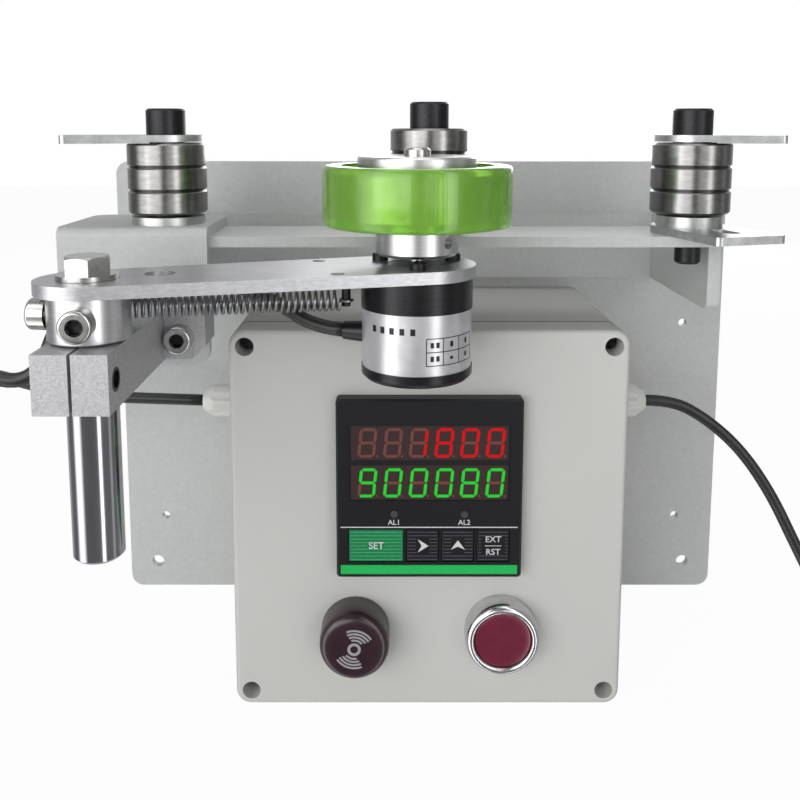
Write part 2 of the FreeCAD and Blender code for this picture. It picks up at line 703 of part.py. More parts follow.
def stack_spacers():
    left = spacer(-ROLLER_X, BRACKET_TOP, LEFT_SPACER_R, SIDE_STACK_Z - BRACKET_TOP)
    right_base = BAR_TOP + TAB_T
    right = spacer(ROLLER_X, right_base, RIGHT_SPACER_R, SIDE_STACK_Z - right_base)
    centre = spacer(0, BAR_TOP, SPACER_R, CENTRE_SPACER_H)
    return group([left, right, centre])


def tab(x, z, angle, length, relief):
    """A guide tab: round at the bolt, a slot and a square end."""
    body = block(0, length, -TAB_R, TAB_R, 0, TAB_T)
    body = body.makeFillet(TAB_CORNER_R, [e for e in along(body, V(0, 0, 1)) if e.CenterOfMass.x > 1])
    body = body.fuse(rod(0, 0, 0, TAB_R, TAB_T)).removeSplitter()
    slot_end = length - TAB_SLOT_END - TAB_SLOT_W / 2
    slot_start = slot_end - TAB_SLOT_LEN + TAB_SLOT_W
    cuts = [rod(0, 0, -3, SHANK_R, TAB_T + 6), rod(slot_start, 0, -1, TAB_SLOT_W / 2, TAB_T + 2),
            rod(slot_end, 0, -1, TAB_SLOT_W / 2, TAB_T + 2),
            block(slot_start, slot_end, -TAB_SLOT_W / 2, TAB_SLOT_W / 2, -1, TAB_T + 1)]
    if relief:
        body = body.cut(rod(0, 0, -1, BEARING_R + 0.6, 1 + relief).cut(rod(0, 0, -2, RING_SHOULDER - 1.2, 4)))
    body = body.cut(cuts)
    body.rotate(V(0, 0, 0), V(0, 0, 1), angle)
    body.translate(V(x, ROLLER_Y, z))
    return body


# ---- measuring wheel ----

def wheel_tyre():
    c = 1.0
    inner = WHEEL_R - TYRE_T
    return turned([(inner, 0), (WHEEL_R - c, 0), (WHEEL_R, c), (WHEEL_R, WHEEL_W - c), (WHEEL_R - c, WHEEL_W),
                   (inner, WHEEL_W)], WHEEL_X, WHEEL_CENTRE_Y, WHEEL_Z)


def wheel_hub():
    """Rim, thin web, raised top flange and the boss that grips the encoder's shaft."""
    inner = WHEEL_R - TYRE_T
    boss = HUB_BOSS_LOW - WHEEL_Z
    top = WHEEL_W + HUB_FLANGE_H
    web, rim = HUB_WEB, WHEEL_W - HUB_WEB
    hub = turned([(SHAFT_R, boss), (HUB_BOSS_R - 1, boss), (HUB_BOSS_R, boss + 1), (HUB_BOSS_R, web), (inner, web),
                  (inner, rim), (HUB_FLANGE_R, rim), (HUB_FLANGE_R, top - 0.6), (HUB_FLANGE_R - 0.6, top),
                  (SHAFT_R, top)], WHEEL_X, WHEEL_CENTRE_Y, WHEEL_Z)
    start, direction = set_screw_line()
    return hub.cut(Part.makeCylinder(SET_SCREW_R, HUB_BOSS_R, start, direction))


def set_screw_line():
    """Where the set screw meets the shaft, and its direction outwards."""
    direction = V(0.7, -0.7, 0).normalize()
    return V(WHEEL_X, WHEEL_CENTRE_Y, (HUB_BOSS_LOW + WHEEL_Z) / 2) + direction * SHAFT_R, direction


def hub_screws():
    """A cap on the shaft's end and the set screw in the boss."""
    top = WHEEL_Z + WHEEL_W + HUB_FLANGE_H
    cap = turned([(0, 0), (HUB_SCREW_R, 0), (HUB_SCREW_R, 2.0), (HUB_SCREW_R - 0.8, 2.8), (0, 2.8)],
                 WHEEL_X, WHEEL_CENTRE_Y, top)
    cap = cap.cut(hexagon(WHEEL_X, WHEEL_CENTRE_Y, top + 1.4, 3.0, 3))
    start, direction = set_screw_line()
    grub = Part.makeCylinder(SET_SCREW_R, HUB_BOSS_R - SHAFT_R - 1.5, start, direction)
    grub = grub.cut(rod(WHEEL_X, WHEEL_CENTRE_Y, HUB_BOSS_LOW, SHAFT_R, WHEEL_W))
    return group([cap, grub])


# ---- arm ----

def arm_plate():
    """Two round ends joined by their common tangents."""
    a = V(PIVOT_X, POST_Y, ARM_Z)
    b = V(WHEEL_X, WHEEL_CENTRE_Y, ARM_Z)
    run = b - a
    length = run.Length
    heading = math.atan2(run.y, run.x)
    lean = math.acos((ARM_PIVOT_R - ARM_END_R) / length)
    corners = []
    for centre, radius, sign in ((a, ARM_PIVOT_R, 1), (b, ARM_END_R, 1), (b, ARM_END_R, -1), (a, ARM_PIVOT_R, -1)):
        angle = heading + sign * lean
        corners.append(centre + V(radius * math.cos(angle), radius * math.sin(angle), 0))
    hull = Part.Face(Part.makePolygon(corners + corners[:1])).extrude(V(0, 0, ARM_T))
    arm = hull.fuse([rod(a.x, a.y, ARM_Z, ARM_PIVOT_R, ARM_T), rod(b.x, b.y, ARM_Z, ARM_END_R, ARM_T)])
    arm = arm.removeSplitter()
    cuts = [rod(a.x, a.y, ARM_Z - 1, POST_NECK_R + FIT, ARM_T + 2),
            rod(b.x, b.y, ARM_Z - 1, ENCODER_BOSS_R, ARM_T + 2)]
    for x, y in encoder_screw_places():
        cuts.append(rod(x, y, ARM_Z - 1, ENCODER_SCREW_R + FIT, ARM_T + 2))
    across = V(-run.y, run.x, 0).normalize()
    heading = run.normalize()
    for reach, aside, radius in ((ARM_SLING_AT, ARM_SLING_ASIDE, ARM_SLING_R), (ARM_HOLE_AT, ARM_HOLE_ASIDE, ARM_HOLE_R),
                                 (ARM_HOLE_AT, -ARM_HOLE_ASIDE, ARM_HOLE_R)):
        spot = a + heading * reach + across * aside
        cuts.append(rod(spot.x, spot.y, ARM_Z - 1, radius, ARM_T + 2))
    return arm.cut(cuts)


def encoder_screw_places():
    places = []
    for k in range(3):
        angle = math.radians(120 * k + 30)
        places.append((WHEEL_X + ENCODER_SCREW_PCD_R * math.cos(angle),
                       WHEEL_CENTRE_Y + ENCODER_SCREW_PCD_R * math.sin(angle)))
    return places


def encoder_flange():
    boss = ARM_T - 0.2
    ring = turned([(SHAFT_R + FIT, 0), (ENCODER_R, 0), (ENCODER_R, ENCODER_FLANGE_H - 0.5),
                   (ENCODER_R - 0.5, ENCODER_FLANGE_H), (ENCODER_BOSS_R, ENCODER_FLANGE_H),
                   (ENCODER_BOSS_R, ENCODER_FLANGE_H + boss), (SHAFT_R + FIT, ENCODER_FLANGE_H + boss)],
                  WHEEL_X, WHEEL_CENTRE_Y, ARM_Z - ENCODER_FLANGE_H)
    bite = ENCODER_SCREW_BITE
    return ring.cut([rod(x, y, ARM_Z - bite, ENCODER_SCREW_R, bite + 1) for x, y in encoder_screw_places()])


def encoder_body():
    body = rod(WHEEL_X, WHEEL_CENTRE_Y, ENCODER_Z, ENCODER_R - 0.3, ENCODER_BODY_H)
    shaft_bore = rod(WHEEL_X, WHEEL_CENTRE_Y, ARM_Z - SHAFT_IN - 1, SHAFT_R + FIT, SHAFT_IN + 2)
    return body.cut([shaft_bore, outlet_bore()])


def outlet_direction():
    angle = math.radians(OUTLET_ANGLE)
    return V(math.cos(angle), math.sin(angle), 0)


def outlet_bore():
    start = V(WHEEL_X, WHEEL_CENTRE_Y, OUTLET_Z) + outlet_direction() * (ENCODER_R - OUTLET_SEAT)
    return Part.makeCylinder(OUTLET_R, 2 * OUTLET_SEAT, start, outlet_direction())


def encoder_cap():
    """The black end cap and the rubber sleeve that the cable leaves through."""
    cap = turned([(0, 0), (ENCODER_R - 1.5, 0), (ENCODER_R, 1.5), (ENCODER_R, ENCODER_CAP_H), (0, ENCODER_CAP_H)],
                 WHEEL_X, WHEEL_CENTRE_Y, ENCODER_Z - ENCODER_CAP_H)
    start = V(WHEEL_X, WHEEL_CENTRE_Y, OUTLET_Z) + outlet_direction() * (ENCODER_R - OUTLET_SEAT)
    sleeve = Part.makeCone(OUTLET_R, OUTLET_R - 0.8, OUTLET_LEN + OUTLET_SEAT, start, outlet_direction())
    return group([cap, sleeve])


def encoder_shaft():
    low = ARM_Z - SHAFT_IN
    top = WHEEL_Z + WHEEL_W + HUB_FLANGE_H
    return rod(WHEEL_X, WHEEL_CENTRE_Y, low, SHAFT_R, top - low)


def spring_peg():
    """The peg under the arm that holds the spring's far end."""
    return V(WHEEL_X - ENCODER_R - PEG_ASIDE, WHEEL_CENTRE_Y - PEG_FRONT, SPRING_Z)


def spring_ends():
    """Where the coils start, beside the collar's rear screw, and end, against the peg."""
    rear = COLLAR_R + COLLAR_SCREW_STEM + M6_HEAD_H / 2
    start = V(PIVOT_X + M6_HEAD_R + SEAT_GAP, POST_Y + rear, SPRING_Z)
    direction = (spring_peg() - start).normalize()
    return start, spring_peg() - direction * (PEG_R + SEAT_GAP)


def arm_screws():
    """Encoder screws, heads on top of the arm, and the peg under the arm that holds the spring."""
    solids = []
    for x, y in encoder_screw_places():
        low, r, top = -ARM_T - ENCODER_SCREW_BITE, ENCODER_HEAD_R, ENCODER_HEAD_H
        screw = turned([(0, low), (ENCODER_SCREW_R, low), (ENCODER_SCREW_R, 0), (r, 0), (r, top - 0.4), (r - 0.45, top),
                        (0, top)], x, y, ARM_TOP)
        solids.append(screw.cut(hexagon(x, y, ARM_TOP + top / 2, 2.5, top)))
    peg = spring_peg()
    solids.append(rod(peg.x, peg.y, SPRING_Z - SPRING_R, PEG_R, ARM_Z - SPRING_Z + SPRING_R))
    return group(solids)


def pivot_bolt():
    """Hexagon bolt and the washer under it, on top of the post."""
    top = ARM_TOP + ARM_PLAY
    washer = rod(PIVOT_X, POST_Y, top, WASHER_R, WASHER_T).cut(rod(PIVOT_X, POST_Y, top - 1, BOLT_SHANK_R, 4))
    head = hexagon(PIVOT_X, POST_Y, top + WASHER_T, BOLT_AF, BOLT_HEAD_H, BOLT_TURN)
    cone = turned([(0, -1), (BOLT_AF / 2 + 3, -1), (BOLT_AF / 2 + 3, BOLT_HEAD_H - 2), (BOLT_AF / 2 - 0.2, BOLT_HEAD_H),
                   (0, BOLT_HEAD_H)], PIVOT_X, POST_Y, top + WASHER_T)
    head = head.common(cone)
    shank = rod(PIVOT_X, POST_Y, top + WASHER_T - BOLT_LEN, BOLT_SHANK_R, BOLT_LEN)
    return group([head.fuse(shank).removeSplitter(), washer])


def pivot_post():
    """Polished rod, necked where the arm turns on it and tapped for the bolt."""
    neck = COLLAR_Z + COLLAR_H
    post = turned([(0, POST_LOW), (POST_R - 1, POST_LOW), (POST_R, POST_LOW + 1), (POST_R, neck), (POST_NECK_R, neck),
                   (POST_NECK_R, ARM_TOP + ARM_PLAY), (0, ARM_TOP + ARM_PLAY)], PIVOT_X, POST_Y, 0)
    top = ARM_TOP + ARM_PLAY + WASHER_T
    return post.cut(rod(PIVOT_X, POST_Y, top - BOLT_LEN, BOLT_SHANK_R, BOLT_LEN + 1))


def collar_screw_axes():
    """Outward directions of the collar's screws; the spring hooks on the rear one."""
    return V(0.1, -1, 0).normalize(), V(-1, 0.1, 0).normalize(), V(0, 1, 0)


def post_collar():
    collar = rod(PIVOT_X, POST_Y, COLLAR_Z, COLLAR_R, COLLAR_H)
    rims = [e for e in collar.Edges if isinstance(e.Curve, Part.Circle)]
    collar = collar.makeChamfer(0.5, rims)
    collar = collar.cut(rod(PIVOT_X, POST_Y, COLLAR_Z - 1, POST_R, COLLAR_H + 2))
    middle = V(PIVOT_X, POST_Y, COLLAR_MID)
    return collar.cut([Part.makeCylinder(M6_SHANK_R, COLLAR_R + 1, middle, axis) for axis in collar_screw_axes()])


def cross_screw(seat, axis, grip):
    """M6 socket screw on any axis: its head stands out from the seat and its shank goes the other way."""
    head = Part.makeCylinder(M6_HEAD_R, M6_HEAD_H, seat, axis)
    rim = [e for e in head.Edges if isinstance(e.Curve, Part.Circle) and (e.Curve.Center - seat).Length > 1]
    head = head.makeFillet(1.0, rim)
    socket = Part.makeCylinder(M6_SOCKET_R, M6_HEAD_H, seat + axis * (M6_HEAD_H * 0.45), axis)
    shank = Part.makeCylinder(M6_SHANK_R, grip, seat, axis * -1)
    return head.cut(socket).fuse(shank).removeSplitter()


def clamp_screw_places():
    """Where the clamp's base is screwed to the bracket's flange."""
    return (PIVOT_X - CLAMP_BASE_PITCH / 2, PIVOT_X + CLAMP_BASE_PITCH / 2)


def clamp_and_collar_screws():
    screws = []
    middle = V(PIVOT_X, POST_Y, COLLAR_MID)
    for axis in collar_screw_axes():
        seat = middle + axis * (COLLAR_R + COLLAR_SCREW_STEM)
        screws.append(cross_screw(seat, axis, COLLAR_R + COLLAR_SCREW_STEM - POST_R))
    base_front = FLANGE_Y - CLAMP_BASE_T
    for x in clamp_screw_places():
        screws.append(cross_screw(V(x, base_front, CLAMP_BASE_SCREW_Z), V(0, -1, 0), CLAMP_BASE_T + BRACKET_T))
    screws.append(grub_screw())
    return group(screws)


def grub_screw():
    """Closes the clamp's slit: sunk in the right half and threaded into the left."""
    right = PIVOT_X + CLAMP_W / 2 - CLAMP_SCREW_IN
    length = CLAMP_W - 2 * CLAMP_SCREW_IN
    y, z = POST_Y - CLAMP_SCREW_AT, CLAMP_Z0 + CLAMP_H / 2
    grub = rod_x(right - length, y, z, M6_SHANK_R, length)
    return grub.cut(rod_x(right - M6_SOCKET_R, y, z, M6_SOCKET_R / 2 + 0.3, M6_SOCKET_R + 1))


def clamp_block():
    """A T: the stem grips the post through a slit, and the base lies on the bracket's flange."""
    half = CLAMP_W / 2
    z1 = CLAMP_Z0 + CLAMP_H
    front = POST_Y - CLAMP_FRONT
    stem = block(PIVOT_X - half, PIVOT_X + half, front, FLANGE_Y, CLAMP_Z0, z1)
    wide = CLAMP_BASE_W / 2
    base = block(PIVOT_X - wide, PIVOT_X + wide, FLANGE_Y - CLAMP_BASE_T, FLANGE_Y, CLAMP_Z0, z1)
    base = base.makeChamfer(CLAMP_CHAMFER, [e for e in along(base, V(0, 1, 0)) if e.CenterOfMass.z < z1 - 1])
    clamp = stem.fuse(base).removeSplitter()
    cuts = [rod(PIVOT_X, POST_Y, CLAMP_Z0 - 1, POST_R, CLAMP_H + 2),
            block(PIVOT_X - CLAMP_SLIT / 2, PIVOT_X + CLAMP_SLIT / 2, front - 1, POST_Y, CLAMP_Z0 - 1, z1 + 1),
            rod_x(PIVOT_X - half + CLAMP_SCREW_IN, POST_Y - CLAMP_SCREW_AT, CLAMP_Z0 + CLAMP_H / 2, M6_SHANK_R, CLAMP_W)]
    for x in clamp_screw_places():
        cuts.append(rod_y(x, FLANGE_Y - CLAMP_BASE_T - 1, CLAMP_BASE_SCREW_Z, M6_SHANK_R, CLAMP_BASE_T + 2))
    return clamp.cut(cuts)


def tension_spring():
    """Close helix: the wire's section, with its flats, swept along the turns."""
    start, end = spring_ends()
    run = end - start
    length = run.Length - 2 * SPRING_WIRE_R
    middle = SPRING_R - SPRING_WIRE_R
    helix = Part.makeHelix(SPRING_PITCH, length, middle)
    section = []
    for k in range(WIRE_SIDES + 1):
        angle = 2 * math.pi * k / WIRE_SIDES
        section.append(V(middle + SPRING_WIRE_R * math.cos(angle), 0, SPRING_WIRE_R * math.sin(angle)))
    coil = Part.Wire(helix).makePipeShell([Part.makePolygon(section)], True, True)
    coil.Placement = FreeCAD.Placement(start + run * (SPRING_WIRE_R / run.Length), FreeCAD.Rotation(V(0, 0, 1), run))
    return coil


# ---- cords ----

def cord_path(points):
    """Straight runs joined by tangent arcs, each as large as its two runs allow."""
    edges = []
    last = points[0]
    radii = []
    for before, corner, after in zip(points, points[1:], points[2:]):
        back, ahead = before - corner, after - corner
        turn = math.pi - back.getAngle(ahead)
        reach = 0.45 * min(back.Length, ahead.Length)
        radius = reach / math.tan(turn / 2)
        back.normalize()
        ahead.normalize()
        a, b = corner + back * reach, corner + ahead * reach
        bisector = (back + ahead).normalize()
        centre = corner + bisector * (radius / math.cos(turn / 2))
        middle = centre - bisector * radius
        edges.append(Part.LineSegment(last, a).toShape())
        edges.append(Part.Arc(a, middle, b).toShape())
        radii.append(round(radius))
        last = b
    edges.append(Part.LineSegment(last, points[-1]).toShape())
    print("bend radii", radii)
    return Part.Wire(edges)


def cord(points):
    """A round tube along a path, with its volume compared with section times length."""
    path = cord_path([V(*p) for p in points])
    first = path.Edges[0]
    ring = Part.Wire([Part.makeCircle(CORD_R, first.valueAt(first.FirstParameter),
                                      first.tangentAt(first.FirstParameter))])
    tube = path.makePipeShell([ring], True, True)
    ratio = tube.Volume / (math.pi * CORD_R ** 2 * path.Length)
    print("cord length", round(path.Length), "volume ratio", round(ratio, 4))
    return tube


# the mains lead: out of the right gland, over and down to the surface, to its coil behind the frame's right
MAINS_ROUTE = [(GLAND_END, GLAND_Y, GLAND_Z), (GLAND_END + 13, GLAND_Y, GLAND_Z), (GLAND_END + 28, 5, GLAND_Z - 8),
               (GLAND_END + 43, 2, GLAND_Z - 21), (GLAND_END + 56, -2, GLAND_Z - 40),
               (GLAND_END + 67, -5, GLAND_Z - 63), (GLAND_END + 78, -8, GLAND_Z - 85), (GLAND_END + 92, -8, 9),
               (GLAND_END + 112, -3, 2.5), (GLAND_END + 138, 4, 2.5), (GLAND_END + 163.5, 10, 2.5)]
COIL_X = GLAND_END + 163.5
COIL_Y = 45.0
COIL_R = 28.0           # middle of the coil's turns
COIL_IN = 12.5          # turns, inside that radius
COIL_OUT = 6.5          # and outside it
COIL_H = 15.0
PLUG_W = 32.0
PLUG_LEN = 34.0
PLUG_H = 18.0
PLUG_BACK = 24.0        # plug, behind the coil's middle turns
PIN_R = 2.0
PIN_LEN = 19.0
PIN_PITCH = 19.0
RELIEF_LEN = 20.0
RELIEF_R = 5.0

# the encoder's lead: from its sleeve along the arm's underside, round the post and out, and into the left gland
ENCODER_ROUTE_ARM = [(WHEEL_X - 25.2, WHEEL_CENTRE_Y + 6.7, OUTLET_Z), (WHEEL_X - 36, WHEEL_CENTRE_Y + 9.6, OUTLET_Z + 0.5),
                     (WHEEL_X - 48, WHEEL_CENTRE_Y + 11, ARM_Z - 12.5), (WHEEL_X - 60, WHEEL_CENTRE_Y + 10, ARM_Z - 6.3),
                     (PIVOT_X + 27, POST_Y + 36, ARM_Z - 3.4), (PIVOT_X + 10, POST_Y + 27.5, ARM_Z - 3.6)]
ENCODER_ROUTE = [(PIVOT_X + 8.5, POST_Y + 26.7, ARM_Z - 3.8), (PIVOT_X - 2.5, POST_Y + 24.5, ARM_Z - 6.3),
                 (PIVOT_X - 17, POST_Y + 22.5, ARM_Z - 10.5), (PIVOT_X - 21.5, POST_Y + 18.5, ARM_Z - 34.3),
                 (PIVOT_X - 38.5, POST_Y + 17, ARM_Z - 30.8), (PIVOT_X - 55, POST_Y + 21, ARM_Z - 26.8),
                 (PIVOT_X - 76, POST_Y + 34, ARM_Z - 27), (PIVOT_X - 93, POST_Y + 57, ARM_Z - 31.8),
                 (PIVOT_X - 101, POST_Y + 84, GLAND_Z + 29), (PIVOT_X - 98.5, POST_Y + 106, GLAND_Z + 18),
                 (-GLAND_END - 91.4, GLAND_Y, GLAND_Z + 11.6), (-GLAND_END - 77.8, GLAND_Y, GLAND_Z + 6.8),
                 (-GLAND_END - 52, GLAND_Y, GLAND_Z + 1.9), (-GLAND_END - 30, GLAND_Y, GLAND_Z + 1),
                 (-GLAND_END, GLAND_Y, GLAND_Z)]


def mains_coil():
    """Outer shape of the wound length: a flat ring, open in the middle."""
    inner, outer = COIL_R - COIL_IN, COIL_R + COIL_OUT
    return turned([(inner, 0), (outer, 0), (outer, COIL_H), (inner, COIL_H)], COIL_X, COIL_Y, 0)


def mains_plug():
    """A moulded plug lying beside the coil."""
    back = COIL_Y + COIL_R + PLUG_BACK
    middle = PLUG_H / 2
    body = block(COIL_X - PLUG_W / 2, COIL_X + PLUG_W / 2, back, back + PLUG_LEN, 0, PLUG_H)
    body = body.makeFillet(4.0, along(body, V(0, 1, 0)))
    relief = Part.makeCone(CORD_R + 0.6, RELIEF_R, RELIEF_LEN, V(COIL_X, back - RELIEF_LEN + 1, middle), V(0, 1, 0))
    pins = [rod_y(COIL_X + s * PIN_PITCH / 2, back + PLUG_LEN - 1, middle, PIN_R, PIN_LEN + 1) for s in (-1, 1)]
    return body.fuse([relief] + pins).removeSplitter()


def build():
    os.makedirs("parts", exist_ok=True)
    pieces = {
        "back_plate": back_plate(), "web_plate": web_plate(),
        "side_plates": group([side_plate(-1), side_plate(1)]), "top_bar": top_bar(), "post_bracket": post_bracket(),
        "box_body": box_body(), "box_lid": box_lid(), "lid_gasket": lid_gasket(),
        "box_screws": group(lid_screws() + box_screws()), "gland_left": gland(-1), "gland_right": gland(1),
        "meter_bezel": meter_bezel(), "meter_window": meter_window(), "meter_case": meter_case(),
        "buzzer_cap": buzzer_cap(), "buzzer_barrel": barrel(-CONTROL_X),
        "button_body": button_body(), "button_bezel": button_bezel(), "button_cap": button_cap(),
        "panel_fasteners": group(panel_nuts() + meter_clips()), "inner_rings": inner_rings(),
        "stack_screws": stack_screws(), "stack_spacers": stack_spacers(),
        "tabs_top": group([tab(-ROLLER_X, TAB_TOP_Z, TAB_TOP_LEFT_ANGLE, TAB_LEN, TAB_RELIEF),
                           tab(ROLLER_X, TAB_TOP_Z, TAB_TOP_RIGHT_ANGLE, TAB_SHORT_LEN, TAB_RELIEF)]),
        "tab_low_right": tab(ROLLER_X, BAR_TOP, TAB_LOW_RIGHT_ANGLE, TAB_LEN, 0),
        "wheel_tyre": wheel_tyre(), "wheel_hub": wheel_hub(), "hub_screws": hub_screws(),
        "encoder_shaft": encoder_shaft(), "encoder_flange": encoder_flange(), "encoder_body": encoder_body(),
        "encoder_cap": encoder_cap(), "arm_plate": arm_plate(), "arm_screws": arm_screws(),
        "pivot_bolt": pivot_bolt(), "pivot_post": pivot_post(), "post_collar": post_collar(),
        "clamp_and_collar_screws": clamp_and_collar_screws(), "clamp_block": clamp_block(),
        "tension_spring": tension_spring(), "mains_lead": cord(MAINS_ROUTE), "mains_coil": mains_coil(),
        "mains_plug": mains_plug(), "encoder_lead_arm": cord(ENCODER_ROUTE_ARM), "encoder_lead": cord(ENCODER_ROUTE),
    }
    for index, name in enumerate(("key_set", "key_right", "key_up", "key_reset")):
        pieces[name] = meter_key(index)
    for name, x, z, count in stacks():
        for k in range(count):
            pieces["roller_%s_%d" % (name, k + 1)] = outer_ring(x, z + k * BEARING_H)
    for node, shape in pieces.items():
        assert shape.isValid(), node
        save(shape, node)
    print(len(pieces), "nodes")


build()
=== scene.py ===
"""Looks of the cable length counter: finishes, printed faces, cords, spring, camera and light. Metres."""
import math

import bmesh
import bpy
import numpy as np
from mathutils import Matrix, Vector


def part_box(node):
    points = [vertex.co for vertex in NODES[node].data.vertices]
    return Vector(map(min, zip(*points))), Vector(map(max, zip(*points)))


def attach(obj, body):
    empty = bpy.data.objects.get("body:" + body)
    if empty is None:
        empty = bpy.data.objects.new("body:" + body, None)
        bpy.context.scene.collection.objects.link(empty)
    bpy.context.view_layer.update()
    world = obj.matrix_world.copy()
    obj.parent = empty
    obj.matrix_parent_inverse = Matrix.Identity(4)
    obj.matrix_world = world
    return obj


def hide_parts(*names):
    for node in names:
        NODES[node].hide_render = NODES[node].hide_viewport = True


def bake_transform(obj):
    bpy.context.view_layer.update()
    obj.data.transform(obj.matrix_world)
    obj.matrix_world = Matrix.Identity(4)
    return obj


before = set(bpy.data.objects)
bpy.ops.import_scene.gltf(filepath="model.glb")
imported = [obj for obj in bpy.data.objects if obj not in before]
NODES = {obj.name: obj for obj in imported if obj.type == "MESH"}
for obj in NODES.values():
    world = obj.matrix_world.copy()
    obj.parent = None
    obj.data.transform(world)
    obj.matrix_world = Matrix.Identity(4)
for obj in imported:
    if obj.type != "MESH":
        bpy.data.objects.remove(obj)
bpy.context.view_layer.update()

MM = 0.001
UP = (0, 0, 1.0)
INK = 0.06             # thickness of printed ink, millimetres


# ---- materials ----

def linear(code):
    """An sRGB hex colour as linear light: the standard curve, channel by channel."""
    channels = [int(code[k:k + 2], 16) / 255 for k in (1, 3, 5)]
    return tuple(c / 12.92 if c <= 0.04045 else ((c + 0.055) / 1.055) ** 2.4 for c in channels) + (1.0,)


def add(tree, kind, settings=(), **links):
    """Adds one node: settings are attributes or socket values, links join sockets by name."""
    node = tree.nodes.new(kind)
    for name, value in dict(settings).items():
        if hasattr(node, name):
            setattr(node, name, value)
        else:
            node.inputs[name].default_value = value
    for name, source in links.items():
        tree.links.new(source, node.inputs[name.replace("_", " ")])
    return node


def new_material(name, colour, metallic=0.0, roughness=0.5, **more):
    """A Principled material and its tree, with constants set on the shader's own sockets."""
    material = bpy.data.materials.new(name)
    material.use_nodes = True
    tree = material.node_tree
    shader = tree.nodes["Principled BSDF"]
    shader.inputs["Base Color"].default_value = linear(colour)
    shader.inputs["Metallic"].default_value = metallic
    shader.inputs["Roughness"].default_value = roughness
    for name_, value in more.items():
        shader.inputs[name_.replace("_", " ")].default_value = value
    return material, tree, shader


def object_pattern(tree, scale):
    """Object coordinates times a scale per axis, in pattern cells per metre."""
    place = add(tree, "ShaderNodeTexCoord")
    mapping = add(tree, "ShaderNodeMapping", {"Scale": scale}, Vector=place.outputs["Object"])
    return mapping.outputs["Vector"]


def grain(tree, shader, dark, light, cell_mm, bump=0.1, depth_mm=0.02, rough=None, detail=3.0):
    """Noise with cells of a real size tints the colour, moves the roughness and lifts the surface."""
    cells = [1 / (size * MM) for size in (cell_mm if isinstance(cell_mm, tuple) else (cell_mm,) * 3)]
    noise = add(tree, "ShaderNodeTexNoise", {"Scale": 1.0, "Detail": detail, "Roughness": 0.6},
                Vector=object_pattern(tree, cells))
    ramp = add(tree, "ShaderNodeValToRGB", Fac=noise.outputs["Fac"])
    ramp.color_ramp.elements[0].position = 0.3
    ramp.color_ramp.elements[0].color = linear(dark)
    ramp.color_ramp.elements[1].position = 0.7
    ramp.color_ramp.elements[1].color = linear(light)
    tree.links.new(ramp.outputs["Color"], shader.inputs["Base Color"])
    if rough:
        spread = add(tree, "ShaderNodeMapRange", {"To Min": rough[0], "To Max": rough[1]},
                     Value=noise.outputs["Fac"])
        tree.links.new(spread.outputs["Result"], shader.inputs["Roughness"])
    lift = add(tree, "ShaderNodeBump", {"Strength": bump, "Distance": depth_mm * MM},
               Height=noise.outputs["Fac"])
    tree.links.new(lift.outputs["Normal"], shader.inputs["Normal"])


def powder_coat():
    """Powder-coated steel: baked polymer, so satin, with the orange peel of melted powder."""
    material, tree, shader = new_material("powder_coated_steel", "#c6c8c7", roughness=0.42)
    grain(tree, shader, "#c2c4c3", "#cacccb", 2.2, bump=0.2, depth_mm=0.04, rough=(0.38, 0.48))
    return material


def moulded_abs():
    """Moulded ABS: a warm light grey with the fine spark grain of its mould."""
    material, tree, shader = new_material("moulded_abs", "#cacac7", roughness=0.5)
    grain(tree, shader, "#c7c7c4", "#cdcdca", 0.5, bump=0.2, depth_mm=0.03, rough=(0.44, 0.56))
    return material


def nylon():
    """Moulded nylon: milky white, with a soft scatter under its surface."""
    material, tree, shader = new_material("moulded_nylon", "#e4e4e0", roughness=0.38,
                                          Subsurface_Weight=0.15, Subsurface_Scale=0.002)
    grain(tree, shader, "#dededa", "#e9e9e6", 0.8, bump=0.1, depth_mm=0.02)
    return material


def zinc_plate():
    """Zinc-plated steel strip: soft grey metal, with faint clouds a few millimetres wide."""
    material, tree, shader = new_material("zinc_plated_steel", "#b4b5b5", metallic=0.9, roughness=0.34)
    grain(tree, shader, "#a3a4a4", "#c3c4c4", 4.0, bump=0.1, depth_mm=0.02, rough=(0.28, 0.42), detail=4)
    return material


def ground_steel():
    """Ground bearing steel, a little tarnished: close to a mirror, with faint clouds along the rings."""
    material, tree, shader = new_material("ground_bearing_steel", "#7e7d7c", metallic=1.0, roughness=0.3)
    grain(tree, shader, "#767574", "#868584", (5.0, 5.0, 1.6), bump=0.04, depth_mm=0.01, rough=(0.2, 0.3))
    return material


def bearing_shield():
    """Pressed steel shield of a bearing: duller than the ring it sits in."""
    material, tree, shader = new_material("pressed_steel_shield", "#8d8d90", metallic=1.0, roughness=0.4)
    grain(tree, shader, "#7c7c7f", "#9c9c9f", 1.2, bump=0.1, rough=(0.34, 0.48))
    return material


def black_oxide():
    """Black-oxide steel: near black with an oily half gloss, and knurling too fine to see as ridges."""
    material, tree, shader = new_material("black_oxide_steel", "#232325", metallic=0.7, roughness=0.36)
    grain(tree, shader, "#1c1c1e", "#303033", 0.6, bump=0.25, depth_mm=0.04, rough=(0.3, 0.46))
    return material


def urethane():
    """Cast polyurethane: clear fluorescent green, lit from inside, with a polished mould surface."""
    material, tree, shader = new_material("cast_polyurethane", "#9ad456", roughness=0.12, IOR=1.4,
                                          Transmission_Weight=0.6)
    grain(tree, shader, "#92cd4e", "#a3db5f", 14.0, bump=0.02, depth_mm=0.05, rough=(0.1, 0.16))
    return material


